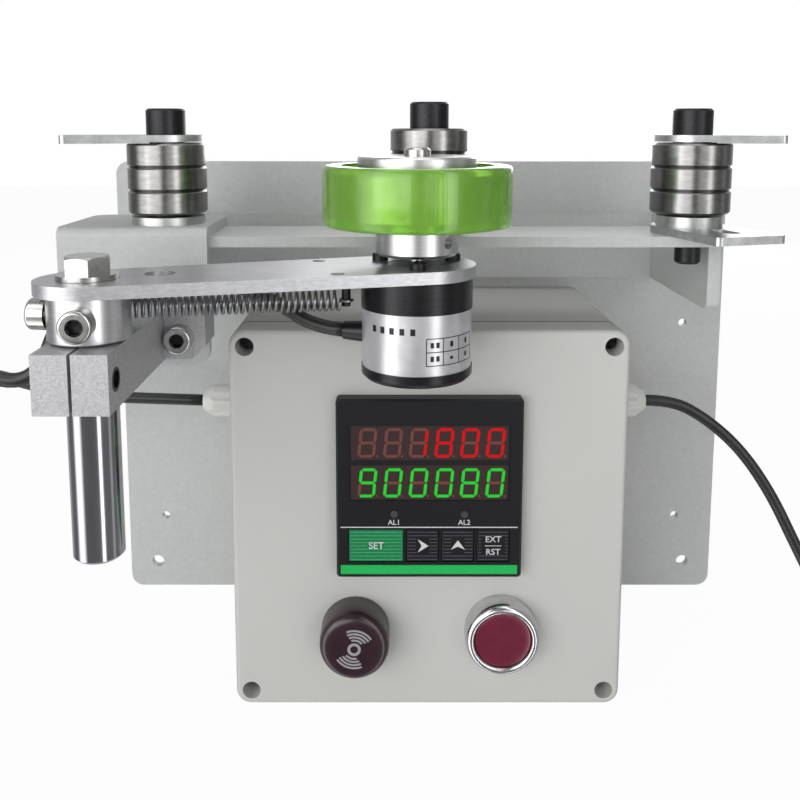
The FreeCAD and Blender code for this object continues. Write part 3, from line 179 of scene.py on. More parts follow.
def turned_aluminium():
    """Turned aluminium: bright, with tool rings a third of a millimetre apart."""
    material, tree, shader = new_material("turned_aluminium", "#c8c8ca", metallic=1.0, roughness=0.3)
    grain(tree, shader, "#bfbfc1", "#d1d1d3", (12.0, 12.0, 0.33), bump=0.03, depth_mm=0.01,
          rough=(0.26, 0.36))
    return material


def brushed_aluminium():
    """Rolled and brushed aluminium plate: long grain along the arm."""
    material, tree, shader = new_material("brushed_aluminium", "#bdbdc0", metallic=0.9, roughness=0.38)
    grain(tree, shader, "#b0b0b3", "#c8c8cb", (14.0, 0.6, 0.6), bump=0.1, depth_mm=0.01, rough=(0.34, 0.44))
    return material


def blasted_aluminium():
    """Raw sawn and blasted aluminium: pale and matt, with a coarse sparkle."""
    material, tree, shader = new_material("blasted_aluminium", "#b3b3b5", metallic=0.5, roughness=0.5)
    grain(tree, shader, "#9f9fa2", "#c5c5c7", 0.6, bump=0.4, depth_mm=0.05, rough=(0.42, 0.6), detail=4)
    return material


def polished_steel():
    """Chromed and ground steel rod: a mirror that draws lamps out into lines along its length."""
    material, tree, shader = new_material("polished_steel_rod", "#a6a6ac", metallic=1.0, roughness=0.12)
    grain(tree, shader, "#9f9fa5", "#adadb3", (3.0, 3.0, 30.0), bump=0.02, depth_mm=0.005,
          rough=(0.1, 0.15))
    return material


def stainless():
    """Cold-headed stainless steel: bright, with a slightly uneven skin."""
    material, tree, shader = new_material("stainless_steel", "#b2b1af", metallic=1.0, roughness=0.22)
    grain(tree, shader, "#a8a7a5", "#bcbbb9", 2.4, bump=0.05, depth_mm=0.015, rough=(0.18, 0.28))
    return material


def spring_wire():
    """Hard-drawn spring wire: bright where it catches the light, dark between the turns."""
    material, tree, shader = new_material("spring_wire", "#8b8b8d", metallic=1.0, roughness=0.3)
    grain(tree, shader, "#7c7c7e", "#9a9a9c", 0.8, bump=0.05, rough=(0.24, 0.38))
    return material


def chrome():
    """Chromium plate over a turned ring."""
    material, tree, shader = new_material("chromium_plate", "#c9c9ca", metallic=1.0, roughness=0.2)
    grain(tree, shader, "#bfbfc1", "#d2d2d4", 4.0, bump=0.03, rough=(0.16, 0.24))
    return material


def black_plastic():
    """Moulded black ABS of the meter: a fine satin."""
    material, tree, shader = new_material("black_meter_abs", "#0d0e12", roughness=0.42,
                                          Specular_IOR_Level=0.35)
    grain(tree, shader, "#0b0c0f", "#111217", 0.5, bump=0.15, depth_mm=0.02, rough=(0.36, 0.48))
    return material


def black_anodised():
    """Black anodised aluminium: metal under a dark dye."""
    material, tree, shader = new_material("black_anodised_aluminium", "#18181a", metallic=0.5,
                                          roughness=0.3)
    grain(tree, shader, "#131315", "#222225", (8.0, 8.0, 0.4), bump=0.1, rough=(0.24, 0.38))
    return material


def printed_ink(name, colour, dark, light, glow=0.0):
    """Screen-printed ink on a plastic face: dense, slightly uneven, barely raised."""
    material, tree, shader = new_material(name, colour, roughness=0.45)
    if glow:
        shader.inputs["Emission Color"].default_value = linear(colour)
        shader.inputs["Emission Strength"].default_value = glow
        shader.inputs["Specular IOR Level"].default_value = 0.1
    grain(tree, shader, dark, light, 0.6, bump=0.05, depth_mm=0.01)
    return material


def tinted_lens(name, dark, light, roughness):
    """Dyed translucent polycarbonate: deep colour with a clear gloss over it."""
    material, tree, shader = new_material(name, dark, roughness=roughness, Coat_Weight=0.2,
                                          Coat_Roughness=0.12, Subsurface_Weight=0.1,
                                          Subsurface_Scale=0.002)
    grain(tree, shader, dark, light, 6.0, bump=0.04, depth_mm=0.02)
    return material


def pvc_sheath():
    """Extruded PVC: soft black with a low sheen."""
    material, tree, shader = new_material("pvc_sheath", "#1a1a1b", roughness=0.4)
    grain(tree, shader, "#151516", "#232324", 1.2, bump=0.12, depth_mm=0.03, rough=(0.34, 0.48))
    return material


def rubber():
    """Black sealing rubber."""
    material, tree, shader = new_material("sealing_rubber", "#202021", roughness=0.75)
    grain(tree, shader, "#1a1a1b", "#272728", 0.6, bump=0.2)
    return material


def foil_label():
    """Aluminium foil label round the encoder: bright and smooth."""
    material, tree, shader = new_material("aluminium_foil_label", "#cacacd", metallic=0.55, roughness=0.32)
    grain(tree, shader, "#c3c3c6", "#d1d1d4", 5.0, bump=0.05, depth_mm=0.02, rough=(0.28, 0.36))
    return material


FINISH = {
    "frame": powder_coat(), "abs": moulded_abs(), "nylon": nylon(), "zinc": zinc_plate(),
    "ring": ground_steel(), "shield": bearing_shield(), "oxide": black_oxide(), "urethane": urethane(),
    "turned": turned_aluminium(), "brushed": brushed_aluminium(), "blasted": blasted_aluminium(),
    "rod": polished_steel(), "stainless": stainless(), "spring": spring_wire(), "chrome": chrome(),
    "black": black_plastic(), "anodised": black_anodised(), "pvc": pvc_sheath(), "rubber": rubber(),
    "label": foil_label(),
    "buzzer": tinted_lens("maroon_polycarbonate", "#200912", "#301020", 0.35),
    "cap": tinted_lens("dark_red_polycarbonate", "#650e2c", "#721433", 0.35),
    "white_ink": printed_ink("white_screen_ink", "#d8d6dc", "#cfcdd3", "#dfdde3"),
    "grey_ink": printed_ink("grey_screen_ink", "#a09ea4", "#98969c", "#a8a6ac"),
    "green_bar": printed_ink("green_screen_ink", "#0cb855", "#0ab151", "#10bf5a"),
    "green_key": printed_ink("deep_green_key_ink", "#0a7a45", "#097040", "#0b8149"),
    "key_stripe": printed_ink("striped_key_ink", "#4b4857", "#44414f", "#524f5e"),
    "green_stripe": printed_ink("green_stripe_ink", "#2fae74", "#2aa56d", "#37b57b"),
    "tint": printed_ink("brown_display_filter", "#2c1314", "#281112", "#311617"),
    "dim_red": printed_ink("unlit_segment", "#6e3a31", "#66352d", "#764036"),
    "lit_red": printed_ink("lit_red_segment", "#b80a0e", "#b0080c", "#c00d11", 0.45),
    "lit_green": printed_ink("lit_green_segment", "#1fb42c", "#1bac28", "#26bc34", 0.45),
    "led": tinted_lens("unlit_led", "#3a3a3e", "#55555a", 0.3),
}

# the finish of each CAD node; the rollers are ground steel, and a node that isn't named is a black sheath
WEAR = {
    "back_plate": "frame", "web_plate": "frame", "side_plates": "frame", "top_bar": "frame",
    "post_bracket": "frame", "box_body": "abs", "box_lid": "abs", "lid_gasket": "rubber",
    "box_screws": "oxide", "tabs_top": "zinc", "tab_low_right": "zinc", "stack_spacers": "zinc",
    "pivot_bolt": "stainless", "gland_left": "nylon", "gland_right": "nylon", "meter_bezel": "black",
    "meter_case": "black", "meter_window": "black", "encoder_cap": "anodised",
    "encoder_flange": "anodised", "encoder_body": "label",
    "key_set": "green_key", "key_right": "black", "key_up": "black", "key_reset": "black",
    "buzzer_cap": "buzzer", "buzzer_barrel": "black", "panel_fasteners": "black", "button_body": "chrome",
    "button_bezel": "chrome", "button_cap": "cap", "inner_rings": "shield", "stack_screws": "oxide",
    "wheel_tyre": "urethane", "wheel_hub": "turned", "post_collar": "turned", "arm_plate": "brushed",
    "clamp_block": "blasted", "pivot_post": "rod", "hub_screws": "stainless", "encoder_shaft": "stainless",
    "arm_screws": "oxide", "clamp_and_collar_screws": "stainless", "mains_plug": "pvc",
}


def finish_nodes():
    """Gives every CAD node its finish."""
    for name, node in NODES.items():
        finish = "ring" if name.startswith("roller_") else WEAR.get(name, "pvc")
        node.data.materials.clear()
        node.data.materials.append(FINISH[finish])


# ---- meshes ----

def mesh_piece(name, points, faces, finish, body):
    """A piece from its points, in metres, and its faces, riding on a body."""
    mesh = bpy.data.meshes.new(name)
    mesh.from_pydata(np.asarray(points).tolist(), [], faces)
    mesh.validate()
    mesh.materials.append(FINISH[finish])
    piece = bpy.data.objects.new(name, mesh)
    bpy.context.scene.collection.objects.link(piece)
    if body:
        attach(piece, body)
    return piece


def prisms(outlines, y_front, depth):
    """Flat outlines in X and Z, each pushed back by a depth: front face, back face and sides of each."""
    points, faces, start = [], [], 0
    for outline in outlines:
        ring = np.asarray(outline, float)
        after = np.roll(ring, -1, axis=0)
        if np.sum(ring[:, 0] * after[:, 1] - after[:, 0] * ring[:, 1]) < 0:
            ring = ring[::-1]
        points += [np.insert(ring, 1, y, axis=1) for y in (y_front, y_front + depth)]
        count = len(ring)
        front = start + np.arange(count)
        beside = np.roll(front, -1)
        faces += [front.tolist(), (front + count)[::-1].tolist()]
        faces += np.column_stack([beside, front, front + count, beside + count]).tolist()
        start += 2 * count
    return np.concatenate(points) * MM, faces


def print_flat(name, outlines, front, finish, body, depth=INK):
    """Ink on a face that looks forwards: its outlines, raised by the ink's thickness."""
    mesh_piece(name, *prisms(outlines, front - depth, depth), finish, body)


def rows_of_rings(places, closed_ring):
    """Faces that join rings of points, round to the first ring again or shut with a face at each end."""
    rows, sides = places.shape[:2]
    index = np.arange(rows * sides).reshape(rows, sides)
    beside = np.roll(index, -1, axis=1)
    faces = np.stack([index[:-1], index[1:], beside[1:], beside[:-1]], axis=-1).reshape(-1, 4).tolist()
    if closed_ring:
        faces += np.stack([index[-1], index[0], beside[0], beside[-1]], axis=-1).tolist()
    else:
        faces += [index[-1][::-1].tolist(), index[0].tolist()]
    return places.reshape(-1, 3) * MM, faces


def grid_tube(path, radius, sides=12):
    """A round tube along a path in millimetres: rings square to it, carried along without a twist."""
    along = np.gradient(path, axis=0)
    along /= np.linalg.norm(along, axis=1)[:, None]
    side = np.cross(along[0], UP)
    first_sides = []
    for direction in along:
        side = side - direction * np.dot(side, direction)
        side /= np.linalg.norm(side)
        first_sides.append(side)
    first_sides = np.asarray(first_sides)[:, None, :]
    second_sides = np.cross(along[:, None, :], first_sides)
    turn = np.linspace(0, -2 * np.pi, sides, endpoint=False)[None, :, None]
    places = path[:, None, :] + radius * (np.cos(turn) * first_sides + np.sin(turn) * second_sides)
    return rows_of_rings(places, False)


def smooth(piece, sharpest=180):
    """Smooth shading, except at edges that turn by more than an angle in degrees."""
    piece.data.polygons.foreach_set("use_smooth", [True] * len(piece.data.polygons))
    if sharpest < 180:
        piece.data.set_sharp_from_angle(angle=math.radians(sharpest))


def rectangle(x0, x1, z0, z1):
    """Outline of a rectangle between two positions across and two levels."""
    return [(x0, z0), (x1, z0), (x1, z1), (x0, z1)]


def disc(x, z, radius, count=28):
    """Circle outline: count points at equal angles."""
    turn = np.linspace(0, 2 * np.pi, count, endpoint=False)
    return np.column_stack([x + radius * np.cos(turn), z + radius * np.sin(turn)])


def sector(x, z, r0, r1, a0, a1, count=14):
    """Outline of a ring's sector: the outer arc from angle to angle, in degrees, and the inner arc back."""
    turn = np.radians(np.linspace(a0, a1, count + 1))
    arc = np.column_stack([np.cos(turn), np.sin(turn)])
    return np.concatenate([r1 * arc, r0 * arc[::-1]]) + (x, z)


def meshed(name, data):
    """A text or curve made a mesh, and the places of its vertices."""
    holder = bpy.data.objects.new(name, data)
    bpy.context.scene.collection.objects.link(holder)
    mesh = bpy.data.meshes.new_from_object(holder.evaluated_get(bpy.context.evaluated_depsgraph_get()))
    bpy.data.objects.remove(holder)
    flat = np.empty(len(mesh.vertices) * 3)
    mesh.vertices.foreach_get("co", flat)
    return mesh, flat.reshape(-1, 3)


FONT_SIZE = 1.38       # size of the font over the height of its capitals
FONT_BOLDER = 0.012    # growth of each outline over that height


def words(name, text, x, z, height, y_front, finish, body):
    """Printed lettering: a text made a mesh, stood up to face the front and moved to its place."""
    curve = bpy.data.curves.new(name, "FONT")
    curve.body = text
    curve.align_x = "CENTER"
    curve.align_y = "CENTER"
    curve.size = height * FONT_SIZE * MM
    curve.offset = height * FONT_BOLDER * MM
    curve.extrude = INK * MM / 2
    curve.resolution_u = 3
    mesh, places = meshed(name + "_text", curve)
    across, up, out = places.T
    upright = np.column_stack([across + x * MM, (y_front - INK / 2) * MM - out, up + z * MM])
    mesh.vertices.foreach_set("co", upright.ravel())
    mesh.materials.clear()
    mesh.materials.append(FINISH[finish])
    piece = bpy.data.objects.new(name, mesh)
    bpy.context.scene.collection.objects.link(piece)
    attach(piece, body)


# ---- meter face ----

def mm_box(node):
    """The lowest and the highest corner of a node, in millimetres."""
    low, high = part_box(node)
    return [c / MM for c in low], [c / MM for c in high]


SEGMENTS = {"0": "abcdef", "1": "bc", "8": "abcdefg", "9": "abcdfg", " ": ""}
DIGIT_W, DIGIT_H, SEGMENT_W, SLANT = 5.6, 10.6, 1.15, 0.1
SEGMENT_GAP = 0.14
FIGURE_X, FIGURE_PITCH = -27.2, 9.85           # the first figure from the meter's middle, and their spacing
POINT_X, POINT_R = 1.3, 0.45                   # a decimal point, from its figure's right side

# the meter's face: widths about its middle, and levels down from its bezel's top edge
FILTER_W, FILTER_ROWS, FILTER_T = 60.4, ((10.6, 24.1), (26.3, 40.1)), 0.05
FIGURE_ROWS = (("upper", "  1800", 22.6, "lit_red"), ("lower", "900080", 38.6, "lit_green"))
RULE_W, RULE_ROW = 68.6, (51.0, 51.4)
BAR_W, BAR_ROW = 68.8, (66.7, 70.4)
LED_X, LED_LEVEL, LED_R, LED_RISE, LED_T = 13.6, 45.8, 1.4, 0.4, 0.5
LED_WORD_LEVEL, LED_WORD_H = 49.3, 2.1


def segment_outline(key, x, z):
    """One bar of a seven-segment figure: a hexagon, leaning with the figure, from its lower left corner."""
    w, h = DIGIT_W, DIGIT_H
    ends = {"a": ((0, h), (w, h)), "b": ((w, h), (w, h / 2)), "c": ((w, h / 2), (w, 0)),
            "d": ((0, 0), (w, 0)), "e": ((0, h / 2), (0, 0)), "f": ((0, h), (0, h / 2)),
            "g": ((0, h / 2), (w, h / 2))}[key]
    (x0, z0), (x1, z1) = ends
    length = math.hypot(x1 - x0, z1 - z0)
    ux, uz = (x1 - x0) / length, (z1 - z0) / length
    half, gap = SEGMENT_W / 2, SEGMENT_GAP
    shape = [(gap, 0), (gap + half, half), (length - gap - half, half), (length - gap, 0),
             (length - gap - half, -half), (gap + half, -half)]
    placed = [(x0 + a * ux - b * uz, z0 + a * uz + b * ux) for a, b in shape]
    return [(x + px + SLANT * pz, z + pz) for px, pz in placed]


def display(row, text, z, lit_finish, front):
    """A row of six figures: lit bars, unlit bars and decimal points."""
    lit, dim = [], []
    for k, figure in enumerate(text):
        x = FIGURE_X + k * FIGURE_PITCH
        for key in "abcdefg":
            (lit if key in SEGMENTS[figure] else dim).append(segment_outline(key, x, z))
        dim.append(disc(x + DIGIT_W + POINT_X, z, POINT_R, 10))
    for name, outlines, finish in (("lit", lit, lit_finish), ("unlit", dim, "dim_red")):
        print_flat("display_%s_%s" % (row, name), outlines, front, finish, "frame")


def meter_face():
    """Display filters and figures, rule, coloured bar, and two lamps with their names."""
    (x0, front, _), (x1, _, top) = mm_box("meter_bezel")
    window_front = mm_box("meter_window")[0][1]
    mid = (x0 + x1) / 2

    def band(width, row):
        """A rectangle about the middle, between two levels under the top edge."""
        return rectangle(mid - width / 2, mid + width / 2, top - row[1], top - row[0])

    print_flat("display_filters", [band(FILTER_W, row) for row in FILTER_ROWS], window_front, "tint", "frame",
               FILTER_T)
    for row, text, level, finish in FIGURE_ROWS:
        display(row, text, top - level, finish, window_front - FILTER_T)
    print_flat("white_rule", [band(RULE_W, RULE_ROW)], front, "white_ink", "frame")
    print_flat("green_bar", [band(BAR_W, BAR_ROW)], front, "green_bar", "frame")
    for side, label in ((-1, "AL1"), (1, "AL2")):
        lamp = disc(mid + side * LED_X, top - LED_LEVEL, LED_R)
        mesh_piece("led_" + label.lower(), *prisms([lamp], front - LED_RISE, LED_T), "led", "frame")
        words("label_" + label.lower(), label, mid + side * LED_X, top - LED_WORD_LEVEL, LED_WORD_H, front,
              "white_ink", "frame")


STRIPES, STRIPE_HALF, STRIPE_T = 9, 0.16, 0.05     # stripes on a key, half the height of one, its thickness
KEY_MARGIN_X, KEY_MARGIN_Z = 0.5, 0.9
# each key's stripe ink, and half the width and height that they leave free for its mark
KEYS = (("key_set", "green_stripe", 3.6, 1.3), ("key_right", "key_stripe", 2.6, 3.4),
        ("key_up", "key_stripe", 2.6, 3.4), ("key_reset", "key_stripe", 4.6, 3.4))
RIGHT_ARROW = ((-1.9, -2.7), (2.3, 0), (-1.9, 2.7), (-0.4, 0))
UP_ARROW = ((-2.8, -1.6), (0, -0.3), (2.8, -1.6), (0, 2.3))
# node, name, text, level above the key's middle and height of its capitals
KEY_WORDS = (("key_set", "key_set_word", "SET", 0.0, 2.8), ("key_reset", "key_reset_upper", "EXT", 2.6, 2.5),
             ("key_reset", "key_reset_lower", "RST", -2.6, 2.5))
# node, name and outline from the key's middle
KEY_MARKS = (("key_right", "key_right_arrow", RIGHT_ARROW), ("key_up", "key_up_arrow", UP_ARROW),
             ("key_reset", "key_reset_rule", rectangle(-3.2, 3.2, -0.12, 0.12)))


def key_prints():
    """Rows of thin stripes, and the mark on each key."""
    for node, finish, free_x, free_z in KEYS:
        (x0, front, z0), (x1, _, z1) = mm_box(node)
        mid, level, body = (x0 + x1) / 2, (z0 + z1) / 2, node + "_press"
        left, right = x0 + KEY_MARGIN_X, x1 - KEY_MARGIN_X
        stripes = []
        for z in np.linspace(z1 - KEY_MARGIN_Z, z0 + KEY_MARGIN_Z, STRIPES):
            broken = abs(z - level) < free_z
            spans = ((left, mid - free_x), (mid + free_x, right)) if broken else ((left, right),)
            stripes += [rectangle(a, b, z - STRIPE_HALF, z + STRIPE_HALF) for a, b in spans]
        print_flat(node + "_stripes", stripes, front, finish, body, STRIPE_T)
        for owner, name, text, rise, height in KEY_WORDS:
            if owner == node:
                words(name, text, mid, level + rise, height, front, "white_ink", body)
        for owner, name, outline in KEY_MARKS:
            if owner == node:
                print_flat(name, [np.array(outline) + (mid, level)], front, "white_ink", body)


# ---- turned pieces, and sockets with painted shade ----

SHARPEST_TURNED = 40       # degrees: a turned piece's edges that turn by more stay sharp


def recalculate(piece):
    """Turns every face outwards."""
    shape = bmesh.new()
    shape.from_mesh(piece.data)
    bmesh.ops.recalc_face_normals(shape, faces=shape.faces)
    shape.to_mesh(piece.data)
    shape.free()


def turned(name, profile, centre, finish, body, replaced, upright=False, sides=96):
    """A profile of (radius, distance) points carried round an axis: a + r cos t, b + r sin t, distance.

    The axis runs forwards, or upright. A profile that comes in to the axis is shut; others make a ring."""
    turn = np.linspace(0, 2 * np.pi, sides, endpoint=False)
    out, across = profile[:, :1] * np.cos(turn), profile[:, :1] * np.sin(turn)
    along = np.repeat(profile[:, 1:], sides, axis=1)
    a, b = centre
    places = np.stack([a + out, b + across, along] if upright else [a + out, -along, b + across], axis=-1)
    piece = mesh_piece(name, *rows_of_rings(places, profile[0, 0] >= 1), finish, body)
    recalculate(piece)
    smooth(piece, SHARPEST_TURNED)
    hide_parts(replaced)


TYRE_WALL = 6.0            # from the tread to the hub
# one shoulder of the tyre: how far inside the tread, and how far inside the end face
TYRE_SHOULDER = ((1.4, 0), (0.7, 0.2), (0.2, 0.7), (0, 1.4))


def tyre():
    """Cast tyre: a clear ring with rounded shoulders, bonded round the hub."""
    (x0, y0, z0), (x1, y1, z1) = mm_box("wheel_tyre")
    outer = (x1 - x0) / 2
    low = [(outer - inwards, z0 + up) for inwards, up in TYRE_SHOULDER]
    high = [(outer - inwards, z1 - down) for inwards, down in TYRE_SHOULDER[::-1]]
    profile = np.array([(outer - TYRE_WALL, z0)] + low + high + [(outer - TYRE_WALL, z1)])
    turned("wheel_tyre_cast", profile, ((x0 + x1) / 2, (y0 + y1) / 2), "urethane", "wheel", "wheel_tyre",
           upright=True, sides=160)


# the controls on the lid: radius, and distance in front of the panel or of the button's flat cap
BUZZER_DOME = ((0.05, 0), (13.3, 0), (13.6, 0.5), (13.6, 10.6), (13.5, 11.8), (13.2, 12.9), (12.6, 13.8),
               (11.7, 14.4), (10.6, 14.7), (8.0, 14.85), (0.05, 14.9))
BUTTON_RING = ((14.6, 0), (14.7, 0.3), (14.7, 5.0), (14.5, 6.2), (14.0, 7.2), (13.3, 7.9), (12.6, 8.2),
               (11.9, 8.1), (11.4, 7.6), (11.25, 6.9), (11.25, 0))
BUTTON_DOME = ((0.05, -3.0), (11.1, -3.0), (11.15, -2.6), (11.15, 0.3), (10.9, 0.8), (10.3, 1.05),
               (8.0, 1.17), (0.05, 1.2))


def controls():
    """Domed buzzer cap, rolled chrome ring and the crowned cap of the push button."""
    for name, profile, finish, body, node in (("buzzer_dome", BUZZER_DOME, "buzzer", "frame", "buzzer_cap"),
                                              ("button_ring", BUTTON_RING, "chrome", "frame", "button_bezel"),
                                              ("button_dome", BUTTON_DOME, "cap", "button", "button_cap")):
        (x0, front, z0), (x1, back, z1) = mm_box(node)
        start = -front if node == "button_cap" else -back
        turned(name, np.array(profile) + (0, start), ((x0 + x1) / 2, (z0 + z1) / 2), finish, body, node)


# rings of a socket: distance along its axis, radius, and one where it is six-sided. The set screw in the
# clamp's side is black; the dark wall and rim at its hole's mouth are painted shade.
GRUB_AT = (-96.2, -124.0, 158.6)       # mouth of the hole in the clamp's side
GRUB_AND_HOLE_SHADE_RINGS = ((-4.5, 2.85, 0), (-0.02, 2.85, 0), (-0.02, 3.75, 0), (0.1, 3.7, 0), (0.12, 2.8, 0),
              (-2.0, 2.7, 0), (-2.1, 1.6, 1), (-4.0, 1.5, 1), (-4.1, 0.05, 0))
# seats of the M6 socket screws in the collar and the clamp's foot, and the way that each head points
M6_SEATS = (((-106.24, -124.64, 175.45), (0.1, -0.995, 0)), ((-120.14, -110.74, 175.45), (-0.995, 0.1, 0)),
            ((-107.5, -99.3, 175.45), (0, 1, 0)), ((-124.5, -68, 157.6), (0, -1, 0)),
            ((-90.5, -68, 157.6), (0, -1, 0)))
# rings of black oxide painted into each M6 socket as the shade inside it: distance, radius, and one where it
# is six-sided
M6_SOCKET_SHADE_RINGS = ((2.75, 2.57, 0), (5.55, 2.57, 0), (5.75, 2.3, 0), (5.6, 2.35, 1), (3.0, 2.3, 1), (2.9, 0.05, 0))


def dark_socket_with_painted_shade(name, seat, axis, rings):
    """A dark hexagon socket in black oxide: a set screw's own black, and painted shade in the recesses. Rings
    along an axis, each the seat + distance along it + radius square to it.

    A hexagon's radius is its corner radius times cos 30 over cos of the angle from the nearest flat."""
    axis = np.array(axis, float)
    axis /= np.linalg.norm(axis)
    side = np.cross(axis, UP)
    side /= np.linalg.norm(side)
    turn = np.linspace(0, 2 * np.pi, 48, endpoint=False)
    hexagon = math.cos(math.pi / 6) / np.cos(turn % (math.pi / 3) - math.pi / 6)
    distance, radius, six_sided = np.array(rings, float).T[:, :, None]
    out = radius * np.where(six_sided > 0, hexagon, 1.0)
    places = (np.array(seat) + distance[:, :, None] * axis + (out * np.cos(turn))[:, :, None] * side
              + (out * np.sin(turn))[:, :, None] * np.cross(axis, side))
    # black oxide finish: painted shade in a recess, and a black set screw's own colour
    recalculate(mesh_piece(name, *rows_of_rings(places, False), "oxide", "frame"))


def sockets_with_painted_shade():
    """The black set screw in the clamp's side, with painted shade on its hole's wall and rim, and painted
    shade in the sockets of the M6 screws.
    """
    # black set screw, with painted shade on the wall and rim of its hole
    dark_socket_with_painted_shade("clamp_grub_and_hole_shade", GRUB_AT, (1, 0, 0), GRUB_AND_HOLE_SHADE_RINGS)
    # black oxide painted in each M6 socket of the stainless screws as the shade inside it
    for number, (seat, axis) in enumerate(M6_SEATS, 1):
        dark_socket_with_painted_shade("socket_painted_shade_%d" % number, seat, axis, M6_SOCKET_SHADE_RINGS)


WAVES = ((3.4, 34), (4.7, 40), (6.0, 42), (7.3, 40))       # inner radius of an arc, and half its angle
WAVE_W, WAVE_MIDDLES, WAVE_RING, MARK_T = 0.75, (72, 252), (1.5, 2.6), 0.15


def buzzer_mark():
    """Sound waves: arcs above and below a small ring, proud of the dome by the ink's thickness."""
    (x0, _, z0), (x1, back, z1) = mm_box("buzzer_cap")
    x, z = (x0 + x1) / 2, (z0 + z1) / 2
    arcs = [sector(x, z, *WAVE_RING, 0, 359.9, 32)]
    for radius, spread in WAVES:
        arcs += [sector(x, z, radius, radius + WAVE_W, middle - spread, middle + spread)
                 for middle in WAVE_MIDDLES]
    front = back - BUZZER_DOME[-1][1] - INK
    mesh_piece("buzzer_mark", *prisms(arcs, front, MARK_T), "grey_ink", "frame")


# the encoder's label: angles round its axis, in degrees, and levels above the foot of its body
TABLE_FROM, TABLE_TO = -82, -20
TABLE_RULES, TABLE_COLUMNS, RULE_HALF_Z, RULE_HALF_ANGLE = (3.5, 8.0, 12.5), (-82, -64, -44, -20), 0.15, 0.45
TABLE_MARKS = ((-76, 9.4, 11.2), (-70, 9.4, 11.2), (-76, 4.9, 6.7), (-70, 4.9, 6.7), (-54, 9.4, 11.2),
               (-54, 5.2, 6.2), (-32, 9.4, 11.2), (-32, 5.0, 6.5))
MARK_HALF_ANGLE = 1.8
BLOCKS, BLOCK_FROM, BLOCK_PITCH, BLOCK_ANGLE, BLOCK_LEVELS = 5, -142, 11, 5, (13.6, 15.8)
LABEL_PROUD, LABEL_T, LABEL_STEP = 0.04, 0.05, 5           # above the skin, thickness, degrees a step


def label_prints():
    """Plain ruled table on the encoder's foil: strips bent round its axis, each a row of four-sided rings.

    A ring's corners lie at (x + r cos a, y + r sin a, z) for two radii and two levels."""
    (x0, y0, foot), (x1, y1, _) = mm_box("encoder_body")
    x, y, outer = (x0 + x1) / 2, (y0 + y1) / 2, (x1 - x0) / 2 + LABEL_PROUD
    strips = [(TABLE_FROM, TABLE_TO, z - RULE_HALF_Z, z + RULE_HALF_Z) for z in TABLE_RULES]
    strips += [(a - RULE_HALF_ANGLE, a + RULE_HALF_ANGLE, TABLE_RULES[0], TABLE_RULES[-1])
               for a in TABLE_COLUMNS]
    strips += [(a - MARK_HALF_ANGLE, a + MARK_HALF_ANGLE, low, high) for a, low, high in TABLE_MARKS]
    strips += [(a, a + BLOCK_ANGLE) + BLOCK_LEVELS for a in BLOCK_FROM + BLOCK_PITCH * np.arange(BLOCKS)]
    points, faces, start = [], [], 0
    for a0, a1, low, high in strips:
        turn = np.radians(np.linspace(a0, a1, max(2, int((a1 - a0) / LABEL_STEP) + 1)))[:, None]
        radius = np.array([outer, outer, outer - LABEL_T, outer - LABEL_T])
        level = np.array([low, high, high, low]) + foot + 0 * turn
        places = np.stack([x + radius * np.cos(turn), y + radius * np.sin(turn), level], axis=-1)
        strip, sides = rows_of_rings(places, False)
        points.append(strip)
        faces += [[start + k for k in side] for side in sides]
        start += len(strip)
    recalculate(mesh_piece("encoder_table", np.concatenate(points), faces, "black", "arm"))


# ---- spring ----

SPRING_LEVEL = 174.4
COIL_R, WIRE_R, COIL_PITCH, COIL_STEPS = 3.1, 0.58, 2.1, 18         # steps a turn
SPRING_FROM, SPRING_TO = (-101.6, -96.2, SPRING_LEVEL), (-32.3, -84.25, SPRING_LEVEL)      # ends of the coils
# the hooks: centre, radius, and the angles from and to in a number of steps
SCREW_HOOK_AT, SCREW_HOOK_R, SCREW_HOOK_TURN = (-107.5, -96.3, SPRING_LEVEL), 5.6, (-330, -35, 30)
PEG_HOOK_AT, PEG_HOOK_R, PEG_HOOK_TURN = (-30.0, -83.85, SPRING_LEVEL), 2.05, (125, -150, 24)


def circling(centre, radius, turn, right, up):
    """Points that circle a centre, or a row of centres: centre + radius (cos turn right + sin turn up)."""
    turn = turn[:, None]
    return np.array(centre) + radius * (np.cos(turn) * np.array(right) + np.sin(turn) * np.array(up))


def spring():
    """Close helix, its near hook round the collar's rear screw and its far hook round the peg."""
    start, end = np.array(SPRING_FROM), np.array(SPRING_TO)
    run = end - start
    length = np.linalg.norm(run)
    along = run / length
    side = np.cross(along, UP)
    turns = round(length / COIL_PITCH)
    t = np.linspace(0, 1, turns * COIL_STEPS)
    coils = circling(start + run * t[:, None], COIL_R, 2 * np.pi * turns * t, side, UP)
    near = circling(SCREW_HOOK_AT, SCREW_HOOK_R, np.radians(np.linspace(*SCREW_HOOK_TURN)), (1, 0, 0), UP)
    far = circling(PEG_HOOK_AT, PEG_HOOK_R, np.radians(np.linspace(*PEG_HOOK_TURN)), along, side)
    points, faces = grid_tube(np.concatenate([near, coils, far]), WIRE_R, 8)
    piece = mesh_piece("tension_spring_coils", points, faces, "spring", None)
    smooth(piece)
    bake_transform(piece)
    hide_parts("tension_spring")


# ---- cords ----

CORD_R = 2.5
